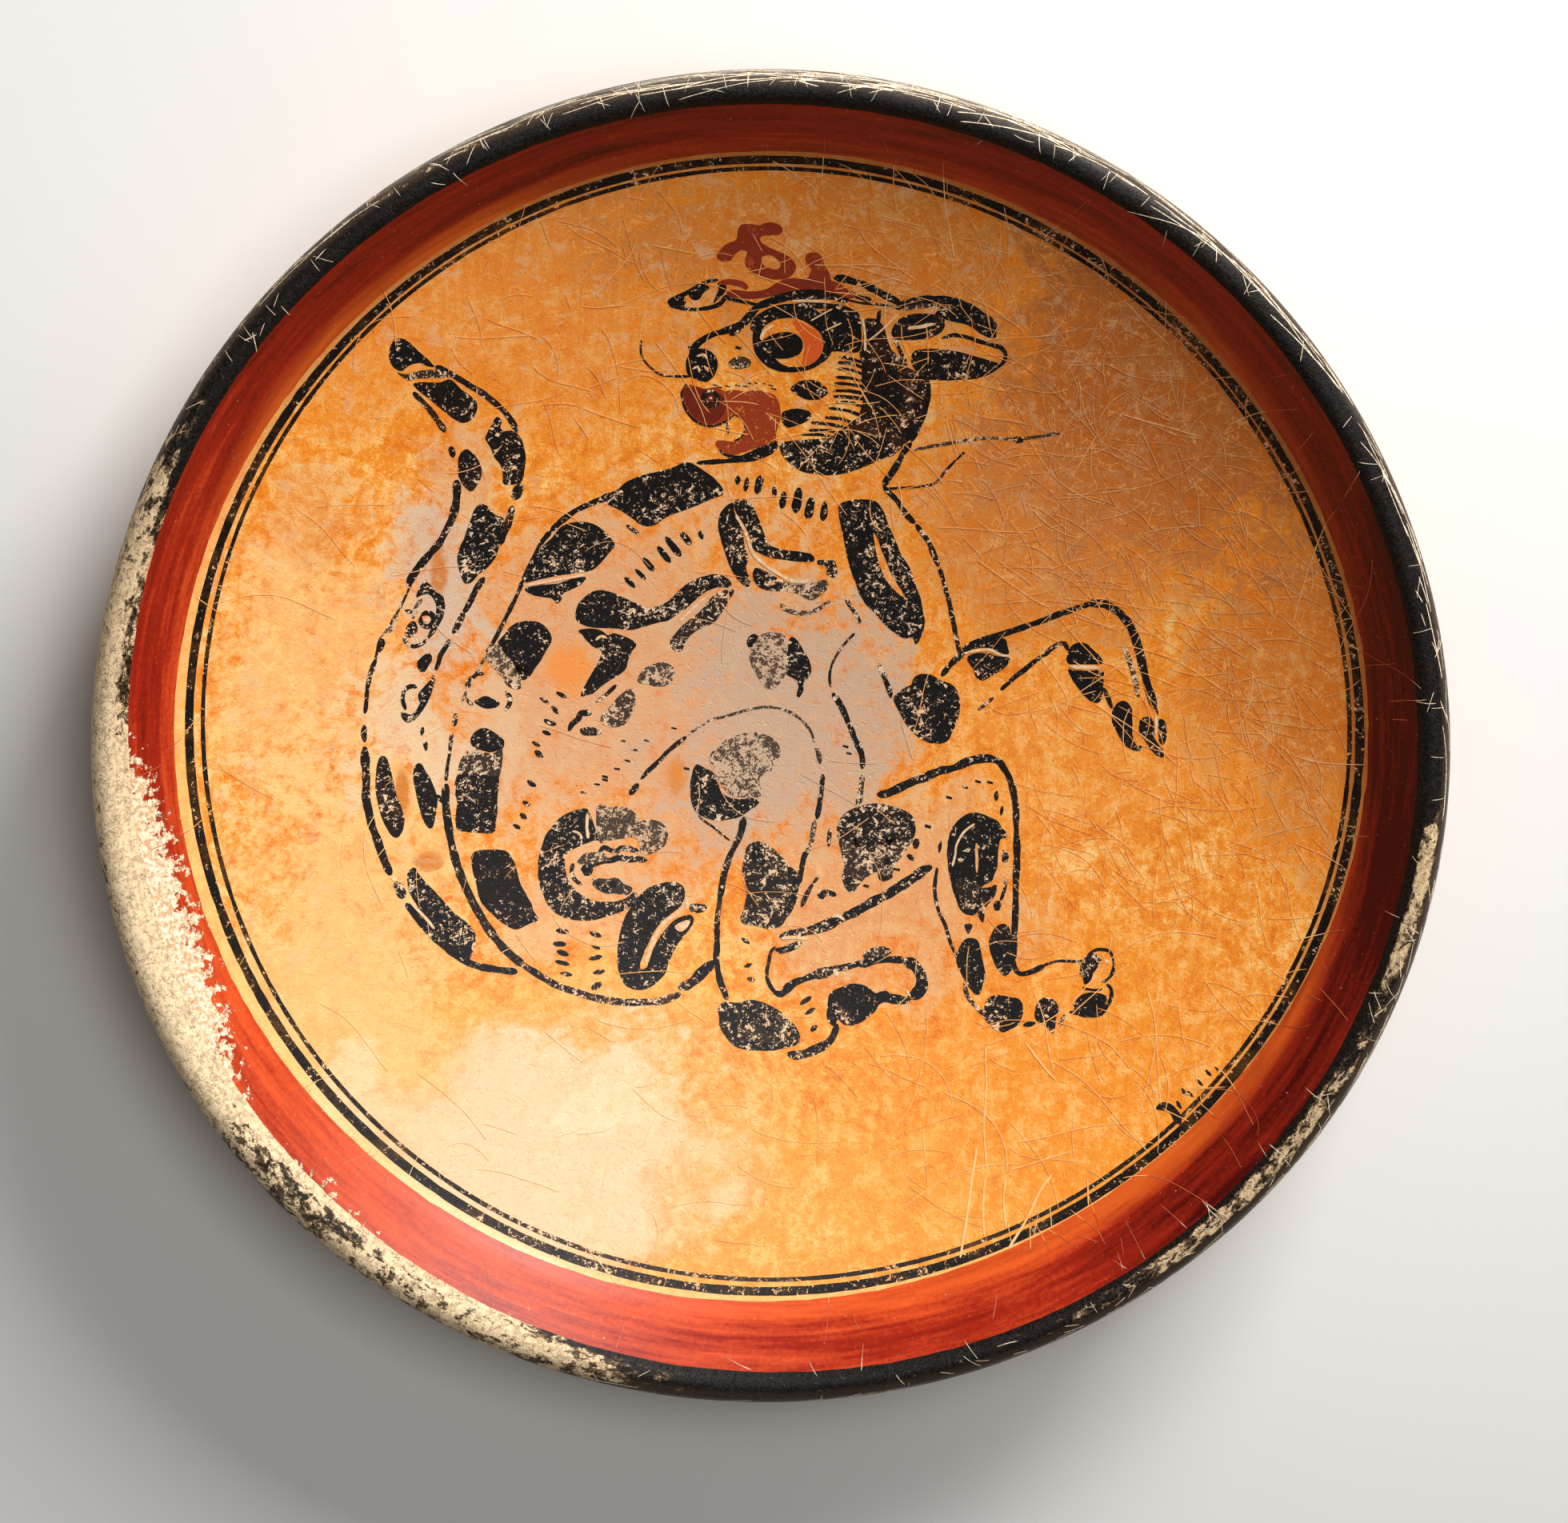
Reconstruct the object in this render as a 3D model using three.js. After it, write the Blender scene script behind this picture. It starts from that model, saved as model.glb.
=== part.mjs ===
// A shallow hand-built dish of fired clay, slipped, painted and burnished on the inside.
// Millimetres, +Z up. The origin is the middle of the foot, on the surface that the dish stands on,
// and +Y points to the top of the painted picture.
// Every piece is a ring or a disc turned from a profile in the plane of radius and height.
// Places across the wall are given as a depth under the finished inside, or under the finished outside.

import * as THREE from 'three';

// The finished form, before the paint
const rimRadius = 150;       // widest reach of the lip
const dishHeight = 54;       // table to the crest of the lip
const bowlDepth = 40.5;      // crest of the lip down to the middle of the floor
const wallThickness = 7.5;   // the lip is a half round of this thickness
const floorThickness = 8;
const wallAngle = 48;        // degrees above level
const wallReach = 19.5;      // plan width from the bend to the widest reach
const bendReach = 3.5;       // plan width of the turn from floor to wall, each way from the bend

// The clay pieces, from the middle outwards
const slabRadius = 70;       // seam of the slab and the floor coil, on the upper face
const floorSeamInset = 14.5; // seam of the floor coil and the wall coil, inside the bend
const rimSeamDrop = 3.5;     // seam of the wall coil and the rim coil, inside the top of the wall
const scarfLength = 6;       // how far a floor seam slants outwards on its way down
const rimScarfLength = 2.5;  // the same at the steep seam under the rim

// The foot
const footRadius = 58;       // outer edge on the table
const footWidth = 9;         // on the table
const footSeatSpread = 2;    // how much wider the foot is at its seat, each side
const footEdge = 1.5;        // rubbed edges at the table

// The coats
const slipThickness = 0.5;
const paintThickness = 0.4;
const thinLineInset = 3.1;   // middle of the thin line, inside the bend
const thinLineWidth = 1;
const lineSpacing = 2;       // middle of the thin line to the middle of the thick one
const thickLineWidth = 1.8;
const redBandInset = 1.4;    // outer edge of the thick line to the red band
const lipPaintDrop = 5;      // how far the lip's paint runs down the outside
const footSlipMargin = 3;    // bare clay left between the foot and the outside slip

// Clearances
const seamGap = 0.3;         // between neighbouring clay pieces, and under each coat

// How round the dish is by hand: each wave has a count of lobes, a size at the rim and a bearing
const radialWaves = [
  { lobes: 1, size: 0.9, towards: -114 },
  { lobes: 2, size: 0.6, towards: 78 },
  { lobes: 3, size: 0.6, towards: -24 },
];
const heightWaves = [
  { lobes: 2, size: 0.4, towards: 35 },
  { lobes: 3, size: 0.3, towards: 100 },
];
const waveFade = 4;          // the waves die away towards the middle as this power of the radius

// How finely the rings are cut
const aroundSteps = 60;
const floorSteps = 7;
const bendSteps = 3;
const lipSteps = 6;

// The line of the inside: a bowed floor, a soft turn, a straight wall and a half-round lip.
const degree = Math.PI / 180;
const wallSlope = Math.tan(wallAngle * degree);
const lipHalf = wallThickness / 2;
const lipCentre = { r: rimRadius - lipHalf, z: dishHeight - lipHalf };
const wallTop = {
  r: lipCentre.r - lipHalf * Math.sin(wallAngle * degree),
  z: lipCentre.z + lipHalf * Math.cos(wallAngle * degree),
};
const bendRadius = rimRadius - wallReach;
const bendStart = bendRadius - bendReach;
const bendEnd = bendRadius + bendReach;
const floorMiddle = dishHeight - bowlDepth;
const wallHeightAt = (r) => wallTop.z - (wallTop.r - r) * wallSlope;
const floorBow = (wallHeightAt(bendRadius) - floorMiddle) / (bendStart * bendEnd);

function insideSlope(r) {
  if (r <= bendStart) return 2 * floorBow * r;
  if (r >= bendEnd) return wallSlope;
  const turn = (r - bendStart) / (bendEnd - bendStart);
  return 2 * floorBow * bendStart * (1 - turn) + wallSlope * turn;
}

function insideHeight(r) {
  if (r <= bendStart) return floorMiddle + floorBow * r * r;
  if (r >= bendEnd) return wallHeightAt(r);
  const past = r - bendStart;
  const meanSlope = (insideSlope(bendStart) + insideSlope(r)) / 2;
  return floorMiddle + floorBow * bendStart * bendStart + meanSlope * past;
}

function thicknessAt(r) {
  const turn = THREE.MathUtils.clamp((r - bendStart) / (bendEnd - bendStart), 0, 1);
  return THREE.MathUtils.lerp(floorThickness, wallThickness, turn);
}

// A point under the finished inside, square to it.
function underInside(r, depth) {
  const slope = insideSlope(r);
  const length = Math.hypot(1, slope);
  return new THREE.Vector2(r + (depth * slope) / length, insideHeight(r) - depth / length);
}

// A point under the finished outside.
const underOutside = (r, depth) => underInside(r, thicknessAt(r) - depth);

// A point under the half-round lip. Its turn is 0 at the top of the inside wall and 1 outside.
function underLip(turn, depth) {
  const angle = (90 + wallAngle - 180 * turn) * degree;
  const reach = lipHalf - depth;
  const across = lipCentre.r + reach * Math.cos(angle);
  return new THREE.Vector2(across, lipCentre.z + reach * Math.sin(angle));
}

// The radii at which all profiles have their points, so that neighbouring faces run side by side.
const stations = [];
for (let i = 0; i <= floorSteps; i++) stations.push((bendStart * i) / floorSteps);
for (let i = 1; i <= bendSteps; i++) {
  stations.push(THREE.MathUtils.lerp(bendStart, bendEnd, i / bendSteps));
}

// The points of a face from one radius out to another, at one depth.
function run(face, from, to, depth) {
  const between = stations.filter((r) => r > from + seamGap && r < to - seamGap);
  return [from, ...between, to].map((r) => face(r, depth));
}

const overLip = (depth) => Array.from({ length: lipSteps + 1 }, (_, i) => underLip(i / lipSteps, depth));

// A ring or disc turned from a closed profile, with the hand-made waves put on it.
function turnedPiece(name, profile, colour, roughness) {
  const onAxis = profile[0].x === 0;
  const points = onAxis ? profile : [...profile, profile[0].clone()];
  const geometry = new THREE.LatheGeometry(points, aroundSteps);
  geometry.rotateX(Math.PI / 2);
  const place = geometry.getAttribute('position');
  const waveAt = (waves, angle) =>
    waves.reduce((sum, wave) => sum + wave.size * Math.cos(wave.lobes * (angle - wave.towards * degree)), 0);
  for (let i = 0; i < place.count; i++) {
    const radius = Math.hypot(place.getX(i), place.getY(i));
    const angle = Math.atan2(place.getY(i), place.getX(i));
    const fade = (radius / rimRadius) ** waveFade;
    const grown = radius + fade * waveAt(radialWaves, angle);
    const lift = fade * waveAt(heightWaves, angle);
    place.setXYZ(i, grown * Math.cos(angle), grown * Math.sin(angle), place.getZ(i) + lift);
  }
  geometry.computeVertexNormals();
  const material = new THREE.MeshStandardMaterial({ color: colour, roughness, metalness: 0 });
  const mesh = new THREE.Mesh(geometry, material);
  mesh.name = name;
  return mesh;
}

// Clay
const clayColour = 0xc39a6e;
const clayRoughness = 0.85;
const clayDepth = slipThickness + seamGap; // clay lies this deep under both finished faces
const floorSeam = bendRadius - floorSeamInset;
const rimSeam = wallTop.r - rimSeamDrop;

function makeBaseSlab() {
  const top = run(underInside, 0, slabRadius, clayDepth);
  const bottom = run(underOutside, 0, slabRadius + scarfLength, clayDepth);
  return turnedPiece('base_slab', [...bottom, ...top.reverse()], clayColour, clayRoughness);
}

// A coil is seated on the slanting edge of the piece inside it.
function makeCoil(name, from, fromScarf, to, toScarf) {
  const top = run(underInside, from + seamGap, to, clayDepth);
  const bottom = run(underOutside, from + fromScarf + seamGap, to + toScarf, clayDepth);
  return turnedPiece(name, [...bottom, ...top.reverse()], clayColour, clayRoughness);
}

function makeRimCoil() {
  const inside = run(underInside, rimSeam + seamGap, wallTop.r, clayDepth);
  const outside = run(underOutside, rimSeam + rimScarfLength + seamGap, wallTop.r, clayDepth);
  const lip = overLip(clayDepth).slice(1, -1);
  const profile = [...outside, ...lip.reverse(), ...inside.reverse()];
  return turnedPiece('rim_coil', profile, clayColour, clayRoughness);
}

// The foot is seated on the underside of the slab, which it follows.
function makeRingFoot() {
  const inner = footRadius - footWidth;
  const seat = run(underOutside, inner - footSeatSpread, footRadius + footSeatSpread, clayDepth - seamGap);
  const table = [
    new THREE.Vector2(inner, footEdge),
    new THREE.Vector2(inner + footEdge, 0),
    new THREE.Vector2(footRadius - footEdge, 0),
    new THREE.Vector2(footRadius, footEdge),
  ];
  return turnedPiece('ring_foot', [...table, ...seat.reverse()], clayColour, clayRoughness);
}

// Coats
const paintBottom = -seamGap;
const paintTop = -seamGap - paintThickness;

function makeInteriorSlip() {
  const top = [...run(underInside, 0, wallTop.r, 0), ...overLip(0).slice(1)];
  const bottom = [...run(underInside, 0, wallTop.r, slipThickness), ...overLip(slipThickness).slice(1)];
  return turnedPiece('interior_slip', [...bottom, ...top.reverse()], 0xe8963a, 0.35);
}

function makeExteriorSlip() {
  const start = footRadius + footSeatSpread + footSlipMargin;
  const outer = run(underOutside, start, wallTop.r - seamGap, 0);
  const inner = run(underOutside, start, wallTop.r - seamGap, slipThickness);
  return turnedPiece('exterior_slip', [...outer, ...inner.reverse()], 0xd08a48, 0.45);
}

// A painted ring lies on the slip between two radii.
function makePaintedRing(name, from, to, colour, roughness) {
  const bottom = run(underInside, from, to, paintBottom);
  const top = run(underInside, from, to, paintTop);
  return turnedPiece(name, [...bottom, ...top.reverse()], colour, roughness);
}

function makeLipPaint() {
  const outsideEnd = wallTop.r - lipPaintDrop * Math.cos(wallAngle * degree);
  const coat = (depth) => [
    ...overLip(depth),
    ...run(underOutside, outsideEnd, wallTop.r - seamGap, depth).reverse(),
  ];
  return turnedPiece('lip_paint', [...coat(paintBottom), ...coat(paintTop).reverse()], 0x1d1612, 0.4);
}

const thinLineRadius = bendRadius - thinLineInset;
const thickLineRadius = thinLineRadius + lineSpacing;
const redBandRadius = thickLineRadius + thickLineWidth / 2 + redBandInset;
const lineColour = 0x241812;
const paintRoughness = 0.4;

const dish = new THREE.Group();
dish.name = 'painted_dish';
dish.add(
  makeBaseSlab(),
  makeCoil('floor_coil', slabRadius, scarfLength, floorSeam, scarfLength),
  makeCoil('wall_coil', floorSeam, scarfLength, rimSeam, rimScarfLength),
  makeRimCoil(),
  makeRingFoot(),
  makeInteriorSlip(),
  makeExteriorSlip(),
  makePaintedRing('thin_line_paint', thinLineRadius - thinLineWidth / 2,
    thinLineRadius + thinLineWidth / 2, lineColour, paintRoughness),
  makePaintedRing('thick_line_paint', thickLineRadius - thickLineWidth / 2,
    thickLineRadius + thickLineWidth / 2, lineColour, paintRoughness),
  makePaintedRing('red_band_paint', redBandRadius, wallTop.r - seamGap, 0xa8341c, paintRoughness),
  makeLipPaint(),
);

export default dish;
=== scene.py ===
# A shallow painted dish: smooth turned skins, bands and lines, and the picture painted on the floor.
# Everything lies in the frame of the CAD model: metres, +Z up, +Y to the top of the picture.
# The numbers in the dictionaries are millimetres and degrees unless a note says otherwise.

import math
import random

import bpy
from mathutils import Matrix, Vector, noise
from mathutils.geometry import delaunay_2d_cdt


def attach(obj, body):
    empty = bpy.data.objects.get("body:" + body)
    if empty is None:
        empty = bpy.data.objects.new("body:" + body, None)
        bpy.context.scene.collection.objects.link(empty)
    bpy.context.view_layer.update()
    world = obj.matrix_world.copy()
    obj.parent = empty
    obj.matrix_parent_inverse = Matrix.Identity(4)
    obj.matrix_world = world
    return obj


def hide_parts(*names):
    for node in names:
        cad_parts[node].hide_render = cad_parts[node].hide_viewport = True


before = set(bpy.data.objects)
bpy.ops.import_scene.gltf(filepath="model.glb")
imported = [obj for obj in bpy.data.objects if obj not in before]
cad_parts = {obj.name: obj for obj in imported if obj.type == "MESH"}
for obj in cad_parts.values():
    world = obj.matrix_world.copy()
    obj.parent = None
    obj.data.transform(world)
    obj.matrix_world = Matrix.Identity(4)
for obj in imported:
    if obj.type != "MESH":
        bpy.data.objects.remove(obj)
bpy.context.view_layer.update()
mm = 0.001
print("frame loaded:", len(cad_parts), "nodes")

# The form of the dish, as in the CAD model

dishForm = {
    "rimRadius": 150,
    "dishHeight": 54,
    "bowlDepth": 40.5,
    "wallThickness": 7.5,
    "floorThickness": 8,
    "wallAngle": 48,
    "bendRadius": 130.5,
    "bendReach": 3.5,
    "radialWaves": [(1, 0.9, -114), (2, 0.6, 78), (3, 0.6, -24)],  # lobes, size at the rim, bearing
    "heightWaves": [(2, 0.4, 35), (3, 0.3, 100)],
    "waveFade": 4,
}

wallLean = math.radians(dishForm["wallAngle"])
wallSlope = math.tan(wallLean)
lipHalf = dishForm["wallThickness"] / 2
lipMiddleZ = dishForm["dishHeight"] - lipHalf
lipMiddleR = dishForm["rimRadius"] - lipHalf
wallTopR = lipMiddleR - lipHalf * math.sin(wallLean)
wallTopZ = lipMiddleZ + lipHalf * math.cos(wallLean)
lipSweep = math.pi * lipHalf                      # length of the half round
bendStart = dishForm["bendRadius"] - dishForm["bendReach"]
bendEnd = dishForm["bendRadius"] + dishForm["bendReach"]
bendWidth = bendEnd - bendStart
floorMiddle = dishForm["dishHeight"] - dishForm["bowlDepth"]
bendHeight = wallTopZ - (wallTopR - dishForm["bendRadius"]) * wallSlope
floorBow = (bendHeight - floorMiddle) / (bendStart * bendEnd)


def waveSum(waves, angle):
    total = 0
    for lobes, size, towards in waves:
        total += size * math.cos(lobes * (angle - math.radians(towards)))
    return total


def linear(code):
    # a colour written as on a paint card, for a colour socket
    channels = [int(code[i:i + 2], 16) / 255 for i in (1, 3, 5)]
    return tuple(c / 12.92 if c <= 0.04045 else ((c + 0.055) / 1.055) ** 2.4 for c in channels) + (1,)


# Node trees

class Wire:
    # a socket that can stand in a sum
    def __init__(self, sheet, socket):
        self.sheet = sheet
        self.socket = socket

    def maths(self, operation, *others):
        return self.sheet.node("ShaderNodeMath", {"operation": operation}, [self, *others])

    def __add__(self, other):
        return self.maths("ADD", other)

    __radd__ = __add__

    def __sub__(self, other):
        return self.maths("SUBTRACT", other)

    def __rsub__(self, other):
        return self.sheet.node("ShaderNodeMath", {"operation": "SUBTRACT"}, [other, self])

    def __mul__(self, other):
        return self.maths("MULTIPLY", other)

    __rmul__ = __mul__

    def __truediv__(self, other):
        return self.maths("DIVIDE", other)

    def __pow__(self, other):
        return self.maths("POWER", other)

    def sine(self):
        return self.maths("SINE")

    def cosine(self):
        return self.maths("COSINE")

    def least(self, other):
        return self.maths("MINIMUM", other)

    def most(self, other):
        return self.maths("MAXIMUM", other)

    def size(self):
        return self.maths("ABSOLUTE")


class Sheet:
    # a node tree that is being filled
    def __init__(self, tree):
        self.tree = tree

    def node(self, kind, settings=None, values=None, out=0):
        made = self.tree.nodes.new(kind)
        count = len(self.tree.nodes)
        made.location = (200 * (count % 12), -260 * (count // 12))
        for key, value in (settings or {}).items():
            if key == "stops":
                self.fillRamp(made.color_ramp, value)
            else:
                setattr(made, key, value)
        pairs = values.items() if isinstance(values, dict) else enumerate(values or [])
        for key, value in pairs:
            self.feed(self.findInput(made, key), value)
        if isinstance(out, str):
            found = [s for s in made.outputs if out in (s.identifier, s.name) and s.enabled]
            return Wire(self, found[0])
        if out is None:
            return made
        return Wire(self, made.outputs[out])

    def fillRamp(self, ramp, stops):
        while len(ramp.elements) < len(stops):
            ramp.elements.new(0.5)
        for element, (place, colour) in zip(ramp.elements, stops):
            element.position = place
            element.color = colour if isinstance(colour, tuple) else (colour, colour, colour, 1)

    def findInput(self, made, key):
        if isinstance(key, int):
            return made.inputs[key]
        matches = [s for s in made.inputs if s.identifier == key]
        return matches[0] if matches else made.inputs[key]

    def feed(self, socket, value):
        if isinstance(value, Wire):
            self.tree.links.new(value.socket, socket)
        else:
            socket.default_value = value

    def vector(self, operation, *parts, out=0):
        return self.node("ShaderNodeVectorMath", {"operation": operation}, list(parts), out)

    def scaled(self, vector, factor):
        return self.node("ShaderNodeVectorMath", {"operation": "SCALE"}, {"Vector": vector, "Scale": factor})

    def joined(self, x, y, z):
        return self.node("ShaderNodeCombineXYZ", None, [x, y, z])

    def parts(self, vector):
        made = self.node("ShaderNodeSeparateXYZ", None, [vector], None)
        return [Wire(self, s) for s in made.outputs]

    def bearing(self, place):
        x, y, _ = self.parts(place)
        return self.node("ShaderNodeMath", {"operation": "ARCTAN2"}, [y, x])

    def radius(self, place):
        x, y, _ = self.parts(place)
        return self.vector("LENGTH", self.joined(x, y, 0.0), out="Value")

    def around(self, angle, size, aside):
        # a place for a cloud that is drawn out along the rim
        return self.joined(angle.cosine() * size, angle.sine() * size, aside)

    def ramp(self, value, stops):
        # stops are (value, colour code)
        coloured = [(at, linear(code)) for at, code in stops]
        return self.node("ShaderNodeValToRGB", {"stops": coloured}, {"Fac": value})

    def mixed(self, factor, first, second):
        return self.node("ShaderNodeMix", {"data_type": "RGBA"},
                         {"Factor_Float": factor, "A_Color": first, "B_Color": second}, "Result_Color")

    def blended(self, factor, first, second):
        return self.node("ShaderNodeMix", {"data_type": "FLOAT"},
                         {"Factor_Float": factor, "A_Float": first, "B_Float": second}, "Result_Float")

    def eased(self, value, low, high, start=0.0, end=1.0):
        # a soft step from start to end as the value goes from low to high
        return self.node("ShaderNodeMapRange", {"interpolation_type": "SMOOTHSTEP"},
                         [value, low, high, start, end])

    def cloud(self, place, scale, detail=4.0, roughness=0.55, distortion=0.0):
        return self.node("ShaderNodeTexNoise", {"normalize": True},
                         {"Vector": place, "Scale": scale, "Detail": detail, "Roughness": roughness,
                          "Distortion": distortion}, "Fac")

    def waveSum(self, waves, angle):
        total = 0
        for lobes, size, towards in waves:
            total = (angle * lobes - lobes * math.radians(towards)).cosine() * size + total
        return total


# Laying flat work on the dish

laying = {
    "slabMerge": 0.001,      # corners nearer than this are one
    "seamMerge": 0.002,      # the same where a ring closes on itself
    "sharpAngle": 35,
    "wobbleAround": 150.0,   # the edge of a band wobbles as a cloud does on a circle of this radius
    "wobbleScale": 0.45,
}


def newTree(name, inputs):
    # inputs are (name, kind, value)
    tree = bpy.data.node_groups.new(name, "GeometryNodeTree")
    tree.interface.new_socket("Geometry", in_out="OUTPUT", socket_type="NodeSocketGeometry")
    tree.interface.new_socket("Geometry", in_out="INPUT", socket_type="NodeSocketGeometry")
    for title, kind, value in inputs:
        socket = tree.interface.new_socket(title, in_out="INPUT", socket_type="NodeSocket" + kind)
        if value is not None:
            socket.default_value = value
    sheet = Sheet(tree)
    entry = sheet.node("NodeGroupInput", out=None)
    wires = {s.name: Wire(sheet, s) for s in entry.outputs if s.name}
    return tree, sheet, wires


def closeTree(sheet, geometry):
    whole = sheet.node("GeometryNodeRealizeInstances", None, {"Geometry": geometry})
    made = sheet.node("NodeGroupOutput", out=None)
    sheet.feed(made.inputs[0], whole)


def layOnDish(sheet, geometry):
    # x and y are a place in plan, z is the height over the finished inside. Past the top of the wall the
    # plan radius runs on round the lip and down the outside, as on an unrolled skin.
    place = sheet.scaled(sheet.node("GeometryNodeInputPosition"), 1 / mm)
    _, _, lift = sheet.parts(place)
    reach = sheet.radius(place)
    angle = sheet.bearing(place)
    onFloor = reach.least(bendStart)
    onBend = (reach - bendStart).most(0).least(bendWidth)
    onWall = (reach - bendEnd).most(0).least(wallTopR - bendEnd)
    onLip = (reach - wallTopR).most(0).least(lipSweep)
    outside = (reach - wallTopR - lipSweep).most(0)
    floorEndSlope = 2 * floorBow * bendStart
    turnRate = (wallSlope - floorEndSlope) / bendWidth
    slope = onFloor * (2 * floorBow) + onBend * turnRate
    height = onFloor * onFloor * floorBow + onBend * floorEndSlope + onBend * onBend * (turnRate / 2)
    height = height + onWall * wallSlope + floorMiddle
    facing = slope.maths("ARCTANGENT") + math.pi / 2 - onLip / lipHalf
    lipStart = math.pi / 2 + wallLean
    lipFacing = lipStart - onLip / lipHalf
    radius = reach.least(wallTopR) + (lipFacing.cosine() - math.cos(lipStart)) * lipHalf
    radius = radius - outside * math.cos(wallLean) + facing.cosine() * lift
    height = height + (lipFacing.sine() - math.sin(lipStart)) * lipHalf
    height = height - outside * math.sin(wallLean) + facing.sine() * lift
    fade = (radius / dishForm["rimRadius"]) ** dishForm["waveFade"]
    grown = radius + fade * sheet.waveSum(dishForm["radialWaves"], angle)
    raised = height + fade * sheet.waveSum(dishForm["heightWaves"], angle)
    settled = sheet.scaled(sheet.joined(grown * angle.cosine(), grown * angle.sine(), raised), mm)
    return sheet.node("GeometryNodeSetPosition", None, {"Geometry": geometry, "Position": settled})


def thicken(sheet, flat, thickness):
    # a flat sheet becomes a closed slab that stands on it
    raised = sheet.node("GeometryNodeExtrudeMesh", {"mode": "FACES"},
                        {"Mesh": flat, "Offset": (0, 0, 1), "Offset Scale": thickness, "Individual": False},
                        "Mesh")
    under = sheet.node("GeometryNodeFlipFaces", None, {"Mesh": flat})
    made = sheet.node("GeometryNodeJoinGeometry", out=None)
    sheet.feed(made.inputs[0], under)
    sheet.feed(made.inputs[0], raised)
    joined = Wire(sheet, made.outputs[0])
    return sheet.node("GeometryNodeMergeByDistance", None,
                      {"Geometry": joined, "Distance": laying["slabMerge"] * mm})


def finishSkin(sheet, geometry, material):
    smooth = sheet.node("GeometryNodeSetShadeSmooth", {"domain": "FACE"},
                        {"Geometry": geometry, "Shade Smooth": True})
    bend = sheet.node("GeometryNodeInputMeshEdgeAngle", out="Unsigned Angle")
    sharp = sheet.node("FunctionNodeCompare", {"data_type": "FLOAT", "operation": "GREATER_THAN"},
                       {"A": bend, "B": math.radians(laying["sharpAngle"])})
    edged = sheet.node("GeometryNodeSetShadeSmooth", {"domain": "EDGE"},
                       {"Geometry": smooth, "Selection": sharp, "Shade Smooth": False})
    return sheet.node("GeometryNodeSetMaterial", None, {"Geometry": edged, "Material": material})


def makeRingTree(name, innerWaves=(), outerWaves=()):
    # a skin between two radii, whose edges run in waves as a hand-drawn band does
    tree, sheet, given = newTree(name, [
        ("Inner Radius", "Float", 0.0),
        ("Outer Radius", "Float", 100.0),
        ("Height On Floor", "Float", 0.0),
        ("Height On Wall", "Float", 0.0),
        ("Thickness", "Float", 0.5),
        ("Edge Wobble", "Float", 0.0),
        ("Steps Around", "Int", 240),
        ("Steps Across", "Int", 20),
        ("Material", "Material", None),
    ])
    grid = sheet.node("GeometryNodeMeshGrid", None,
                      {"Size X": 1.0, "Size Y": 1.0, "Vertices X": given["Steps Across"] + 1,
                       "Vertices Y": given["Steps Around"] + 1}, "Mesh")
    across, around, _ = sheet.parts(sheet.node("GeometryNodeInputPosition"))
    angle = around * math.tau + math.pi
    onCircle = sheet.joined(angle.cosine(), angle.sine(), 0.0)
    rough = sheet.cloud(sheet.scaled(onCircle, laying["wobbleAround"]), laying["wobbleScale"], 3.0)
    edgeNoise = (rough - 0.5) * given["Edge Wobble"]
    inner = given["Inner Radius"] + sheet.waveSum(innerWaves, angle) + edgeNoise
    outer = given["Outer Radius"] + sheet.waveSum(outerWaves, angle) - edgeNoise
    reach = sheet.blended(across + 0.5, inner.most(0.0), outer)
    turn = ((reach - bendStart) / bendWidth).most(0).least(1)
    height = sheet.blended(turn, given["Height On Floor"], given["Height On Wall"])
    flat = sheet.scaled(sheet.joined(reach * angle.cosine(), reach * angle.sine(), height), mm)
    placed = sheet.node("GeometryNodeSetPosition", None, {"Geometry": grid, "Position": flat})
    closed = sheet.node("GeometryNodeMergeByDistance", None,
                        {"Geometry": placed, "Distance": laying["seamMerge"] * mm})
    slab = thicken(sheet, closed, given["Thickness"] * mm)
    closeTree(sheet, finishSkin(sheet, layOnDish(sheet, slab), given["Material"]))
    return tree


def makePaintTree():
    # flat brush marks become thin closed paint on the dish
    tree, sheet, given = newTree("layPaint", [
        ("Height", "Float", 0.03),
        ("Thickness", "Float", 0.04),
        ("Material", "Material", None),
    ])
    slab = thicken(sheet, given["Geometry"], given["Thickness"] * mm)
    lifted = sheet.node("GeometryNodeSetPosition", None,
                        {"Geometry": slab, "Offset": sheet.joined(0.0, 0.0, given["Height"] * mm)})
    closeTree(sheet, finishSkin(sheet, layOnDish(sheet, lifted), given["Material"]))
    return tree


def runTree(name, tree, values, mesh=None):
    # the result is a plain mesh on an object at the origin
    holder = bpy.data.objects.new(name, mesh or bpy.data.meshes.new(name + "Start"))
    bpy.context.scene.collection.objects.link(holder)
    modifier = holder.modifiers.new(tree.name, "NODES")
    modifier.node_group = tree
    identifiers = {s.name: s.identifier for s in tree.interface.items_tree if s.in_out == "INPUT"}
    for title, value in values.items():
        modifier[identifiers[title]] = value
    graph = bpy.context.evaluated_depsgraph_get()
    made = bpy.data.meshes.new_from_object(holder.evaluated_get(graph))
    made.name = name
    holder.modifiers.clear()
    holder.data = made
    return holder


def addPiece(piece, slotName, *nodes):
    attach(piece, "root")
    if nodes:
        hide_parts(*nodes)
    print("made", piece.name, len(piece.data.polygons), "faces")


# Finishes

def openMaterial(name):
    material = bpy.data.materials.new(name)
    material.use_nodes = True
    material.node_tree.nodes.clear()
    sheet = Sheet(material.node_tree)
    return material, sheet


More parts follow.
